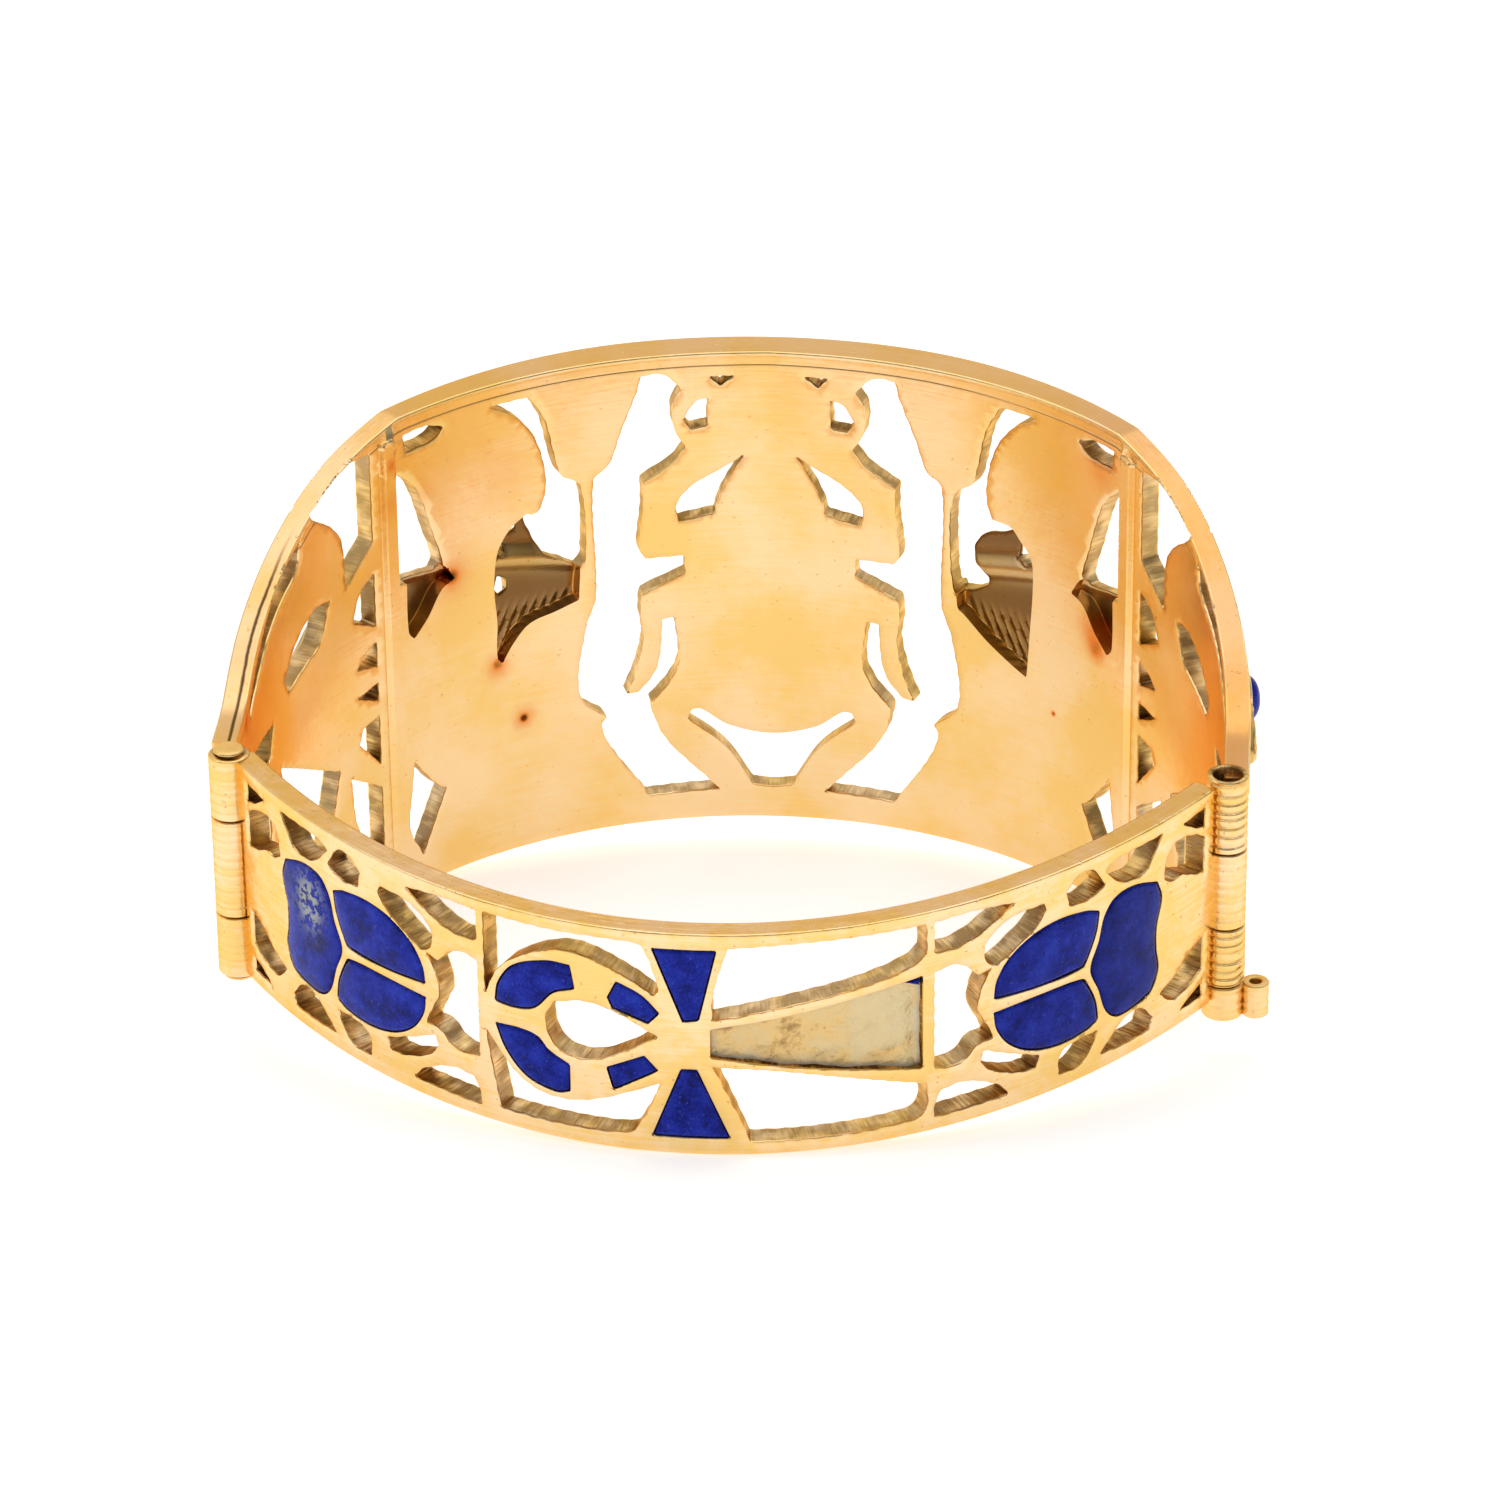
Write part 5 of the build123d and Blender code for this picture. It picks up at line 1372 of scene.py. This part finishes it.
class StonesOperator(bpy.types.Operator):
    """Makes the flat inlaid stones, the domed ones and the old glue"""
    bl_idname = "bangle.stones"
    bl_label = "Stones"

    def execute(self, context):
        """The ankh's stones, then each side's, the middle one, the chip and the glue."""
        sizes = context.scene.bangle_sizes
        high = FRONT_THICKNESS + FRONT_RELIEF
        for name, outline in ANKH_STONES.items():
            self.flat_stone(name, BACK, in_panel(outline, ANKH_PANEL), "back_half", 0.0, sizes)
        for side, word in ((-1, "left"), (1, "right")):
            for name, outline in BACK_SIDE_STONES.items():
                outline = in_panel(outline, back_side(side))
                self.flat_stone(f"back_{word}_{name}", BACK, outline, "back_half", 0.0, sizes)
            outline = in_panel(FRONT_ELYTRON, scarab_side(side))
            self.flat_stone(f"front_elytron_{word}", FRONT, outline, "front_half", high, sizes)
            self.cabochon(f"front_cabochon_{word}", side)
        outline = in_panel(FRONT_PRONOTUM, SCARAB_PANEL)
        self.flat_stone("front_pronotum", FRONT, outline, "front_half", high, sizes, 30)
        outline = in_panel(ANKH_CHIP, ANKH_PANEL)
        self.flat_stone("ankh_stem_chip", BACK, outline, "back_half", -0.1, sizes, 30)
        self.glue()
        return {"FINISHED"}

    def flat_stone(self, name, line, outline, body, surface, sizes, corner=40):
        """An inlaid stone: its cell's outline moved in by the gap, with a round edge and a low dome."""
        round_edge = sizes.stone_edge * MM
        dome = sizes.stone_dome * MM
        loop = smooth(moved_in(smooth(outline, 0.1, corner), sizes.stone_gap * MM), 0.14, 60)
        middle = outline.mean(0)

        def top(p):
            """The dome: a smooth rise inwards from the edge."""
            return surface + dome * step(clearance(p, [loop]), 0, 1.3)

        def finish(p):
            """Painted shade on the back band's right-hand stones, and the calcite patch in the one that has
            it: an oval bell curve.
            """
            if name != "back_left_pronotum":
                return {"calcite": 0.0, "shade": RIGHT_STONES_PAINTED_SHADE.get(name, 0.0)}
            x, z = (p - middle).T
            near = np.exp(-(((x - 0.3) / 1.0) ** 2 + ((z - 1.9) / 1.4) ** 2))
            return {"calcite": np.clip(near * 1.6, 0, 1), "shade": 0.0}

        shape = Shape()
        slab(shape, line, [loop], top, lambda p: np.full(len(p), surface - POCKET_DEPTH + 0.05),
             (0.04, 0.1, round_edge), 0.3, round_edge, values=finish)
        shape.finish(name + "_stone", body, name, bpy.data.materials["lapis_lazuli"], "lapis")

    def cabochon(self, name, side):
        """An oval dome on the side panel, whose height falls from the middle as a flattened half circle,
        in a cup whose wall is an oval ring of oval section."""
        r, t = np.meshgrid(np.linspace(0, 1, 26), np.linspace(0, 2 * np.pi, 56, endpoint=False),
                           indexing="ij")
        bulge = np.sqrt(np.clip(1 - r ** 2.6, 0, 1))
        place = np.column_stack((
            (side * (CABOCHON_ALONG + 1.35 * r * np.cos(t))).ravel(),
            (CABOCHON_UP + 1.6 * r * np.sin(t)).ravel(),
            (FRONT_THICKNESS + 0.06 + 1.24 * bulge).ravel()))
        faces = grid_faces(*r.shape)
        stone = Shape()
        stone.add(lift(FRONT, place), faces if side > 0 else faces[:, ::-1], place=place)
        stone.finish(name + "_stone", "front_half", name, bpy.data.materials["lapis_lazuli"], "lapis")
        u, v = np.meshgrid(np.linspace(0, 2 * np.pi, 72, endpoint=False),
                           np.linspace(0, 2 * np.pi, 12, endpoint=False), indexing="ij")
        radius = 0.2 * np.cos(v)
        place = np.column_stack((
            (side * (CABOCHON_ALONG + (1.52 + radius) * np.cos(u))).ravel(),
            (CABOCHON_UP + (1.78 + radius) * np.sin(u)).ravel(),
            (FRONT_THICKNESS + 0.28 + 0.34 * np.sin(v)).ravel()))
        faces = grid_faces(*u.shape, closed=True)
        cup = Shape()
        cup.add(lift(FRONT, place), faces if side > 0 else faces[:, ::-1], place=place)
        cup.finish(name + "_cup", "front_half", None, bpy.data.materials["worked_gold"], "gold")

    def glue(self):
        """The glue in the stem's cell: a wavy bed that climbs its wall, paler at the broad end."""
        loop = smooth(in_panel(ANKH_STEM, ANKH_PANEL), 0.15, 30)

        def top(p):
            """Three slow waves, and a rise beside the wall that falls off with the distance."""
            s, z = p.T
            wave = 0.05 * np.sin(1.9 * s + 0.6 * z) + 0.04 * np.sin(3.1 * z - 1.3 * s)
            wave += 0.03 * np.sin(5.3 * s + 2.0)
            return -0.66 + wave + 0.22 * np.exp(-clearance(p, [loop]) / 0.18)

        def stains(p):
            """Grey blue beside the wall, and the pale patch, a rounded rectangle."""
            s, z = p.T
            patch = 1 - ((np.abs(s - 10.4) / 2.0) ** 4 + (np.abs(z - 0.5) / 2.1) ** 4)
            return {"rim": 0.7 * np.exp(-clearance(p, [loop]) / 0.13), "pale": step(patch, 0, 0.35)}

        shape = Shape()
        slab(shape, BACK, [loop], top, lambda p: np.full(len(p), -0.84), (0.05, 0.14, 0.3), 0.25, 0.02,
             values=stains)
        shape.finish("ankh_stem_glue", "back_half", None, bpy.data.materials["old_glue"], "gold")


class PinsOperator(bpy.types.Operator):
    """Makes the hinge pin and the clasp pin"""
    bl_idname = "bangle.pins"
    bl_label = "Pins"

    def execute(self, context):
        """Each pin is turned from its profile. The clasp pin's head and ear are ribbed tubes."""
        pitch = context.scene.bangle_sizes.rib_pitch * MM
        gold = bpy.data.materials["bright_gold"]
        low, high = -HINGE_PIN_HALF, HINGE_PIN_HALF
        profile = np.vstack((
            [(0, low)], quarter(0.75, low + 0.12, 0.2, -1), [(0.7, low + 0.25), (0.7, high - 0.25)],
            quarter(0.78, high - 0.1, 0.12, 0), [(0.0, high + 0.05)]))
        shape = Shape()
        rows, faces, around = revolve(profile, -HINGE_HALF)
        shape.add(rows, faces, place=around)
        shape.finish("hinge_pin_metal", "front_half", "hinge_pin", gold, "gold")

        top = CLASP_HEAD_TOP
        low = top - CLASP_HEAD_LENGTH
        shaft = [(0.0, top - 0.5), (0.8, top - 0.5), (0.8, 5.1)]
        shape = Shape()
        for profile, x, steps in (
                (np.vstack((shaft, quarter(0.5, 5.2, 0.3, 0), [(0.0, 5.5)])), HINGE_HALF, 48),
                (knuckle(low, top, 0.3, 0.07, pitch, edge=0.14), HINGE_HALF, 72),
                (knuckle(low, top, 0.35, 0.06, pitch, radius=0.8), HINGE_HALF + TUBE_RADIUS + 0.67, 48)):
            rows, faces, around = revolve(profile, x, steps)
            shape.add(rows, faces, place=around)
        shape.finish("clasp_pin_metal", "clasp_pin", "clasp_pin", gold, "gold")
        return {"FINISHED"}


class BanglePanel(bpy.types.Panel):
    """Lists the bangle's steps"""
    bl_idname = "VIEW3D_PT_bangle"
    bl_label = "Bangle"
    bl_space_type = "VIEW_3D"
    bl_region_type = "UI"
    bl_category = "Bangle"

    def draw(self, context):
        """A button for each step and a field for each setting."""
        for operator in OPERATORS:
            self.layout.operator(operator.bl_idname)
        for name, made in SETTINGS.items():
            for key in made.__annotations__:
                self.layout.prop(getattr(context.scene, name), key)


SETTINGS = {"bangle_look": BangleLook, "bangle_sizes": BangleSizes, "bangle_view": BangleView}
OPERATORS = (StageOperator, BackBandOperator, FrontBandOperator, StonesOperator, PinsOperator)


def register():
    """Registers the settings, the operators and the panel."""
    for made in (*SETTINGS.values(), *OPERATORS, BanglePanel):
        bpy.utils.register_class(made)
    for name, made in SETTINGS.items():
        setattr(bpy.types.Scene, name, bpy.props.PointerProperty(type=made))


def unregister():
    """Takes them out again."""
    for name in SETTINGS:
        delattr(bpy.types.Scene, name)
    for made in (BanglePanel, *OPERATORS[::-1], *SETTINGS.values()):
        bpy.utils.unregister_class(made)


def main():
    """Builds everything in order."""
    register()
    look = bpy.context.scene.bangle_look
    worn_metal_group()
    gold_material("worked_gold", look, look.polish, 1.15)
    gold_material("smooth_gold", look, look.polish, 0.45)
    gold_material("bright_gold", look, look.polish + 0.06, 0.6)
    lapis_material(look)
    glue_material(look)
    bpy.ops.bangle.stage()
    bpy.ops.bangle.back_band()
    bpy.ops.bangle.front_band()
    bpy.ops.bangle.stones()
    bpy.ops.bangle.pins()


if __name__ == "__main__":
    main()
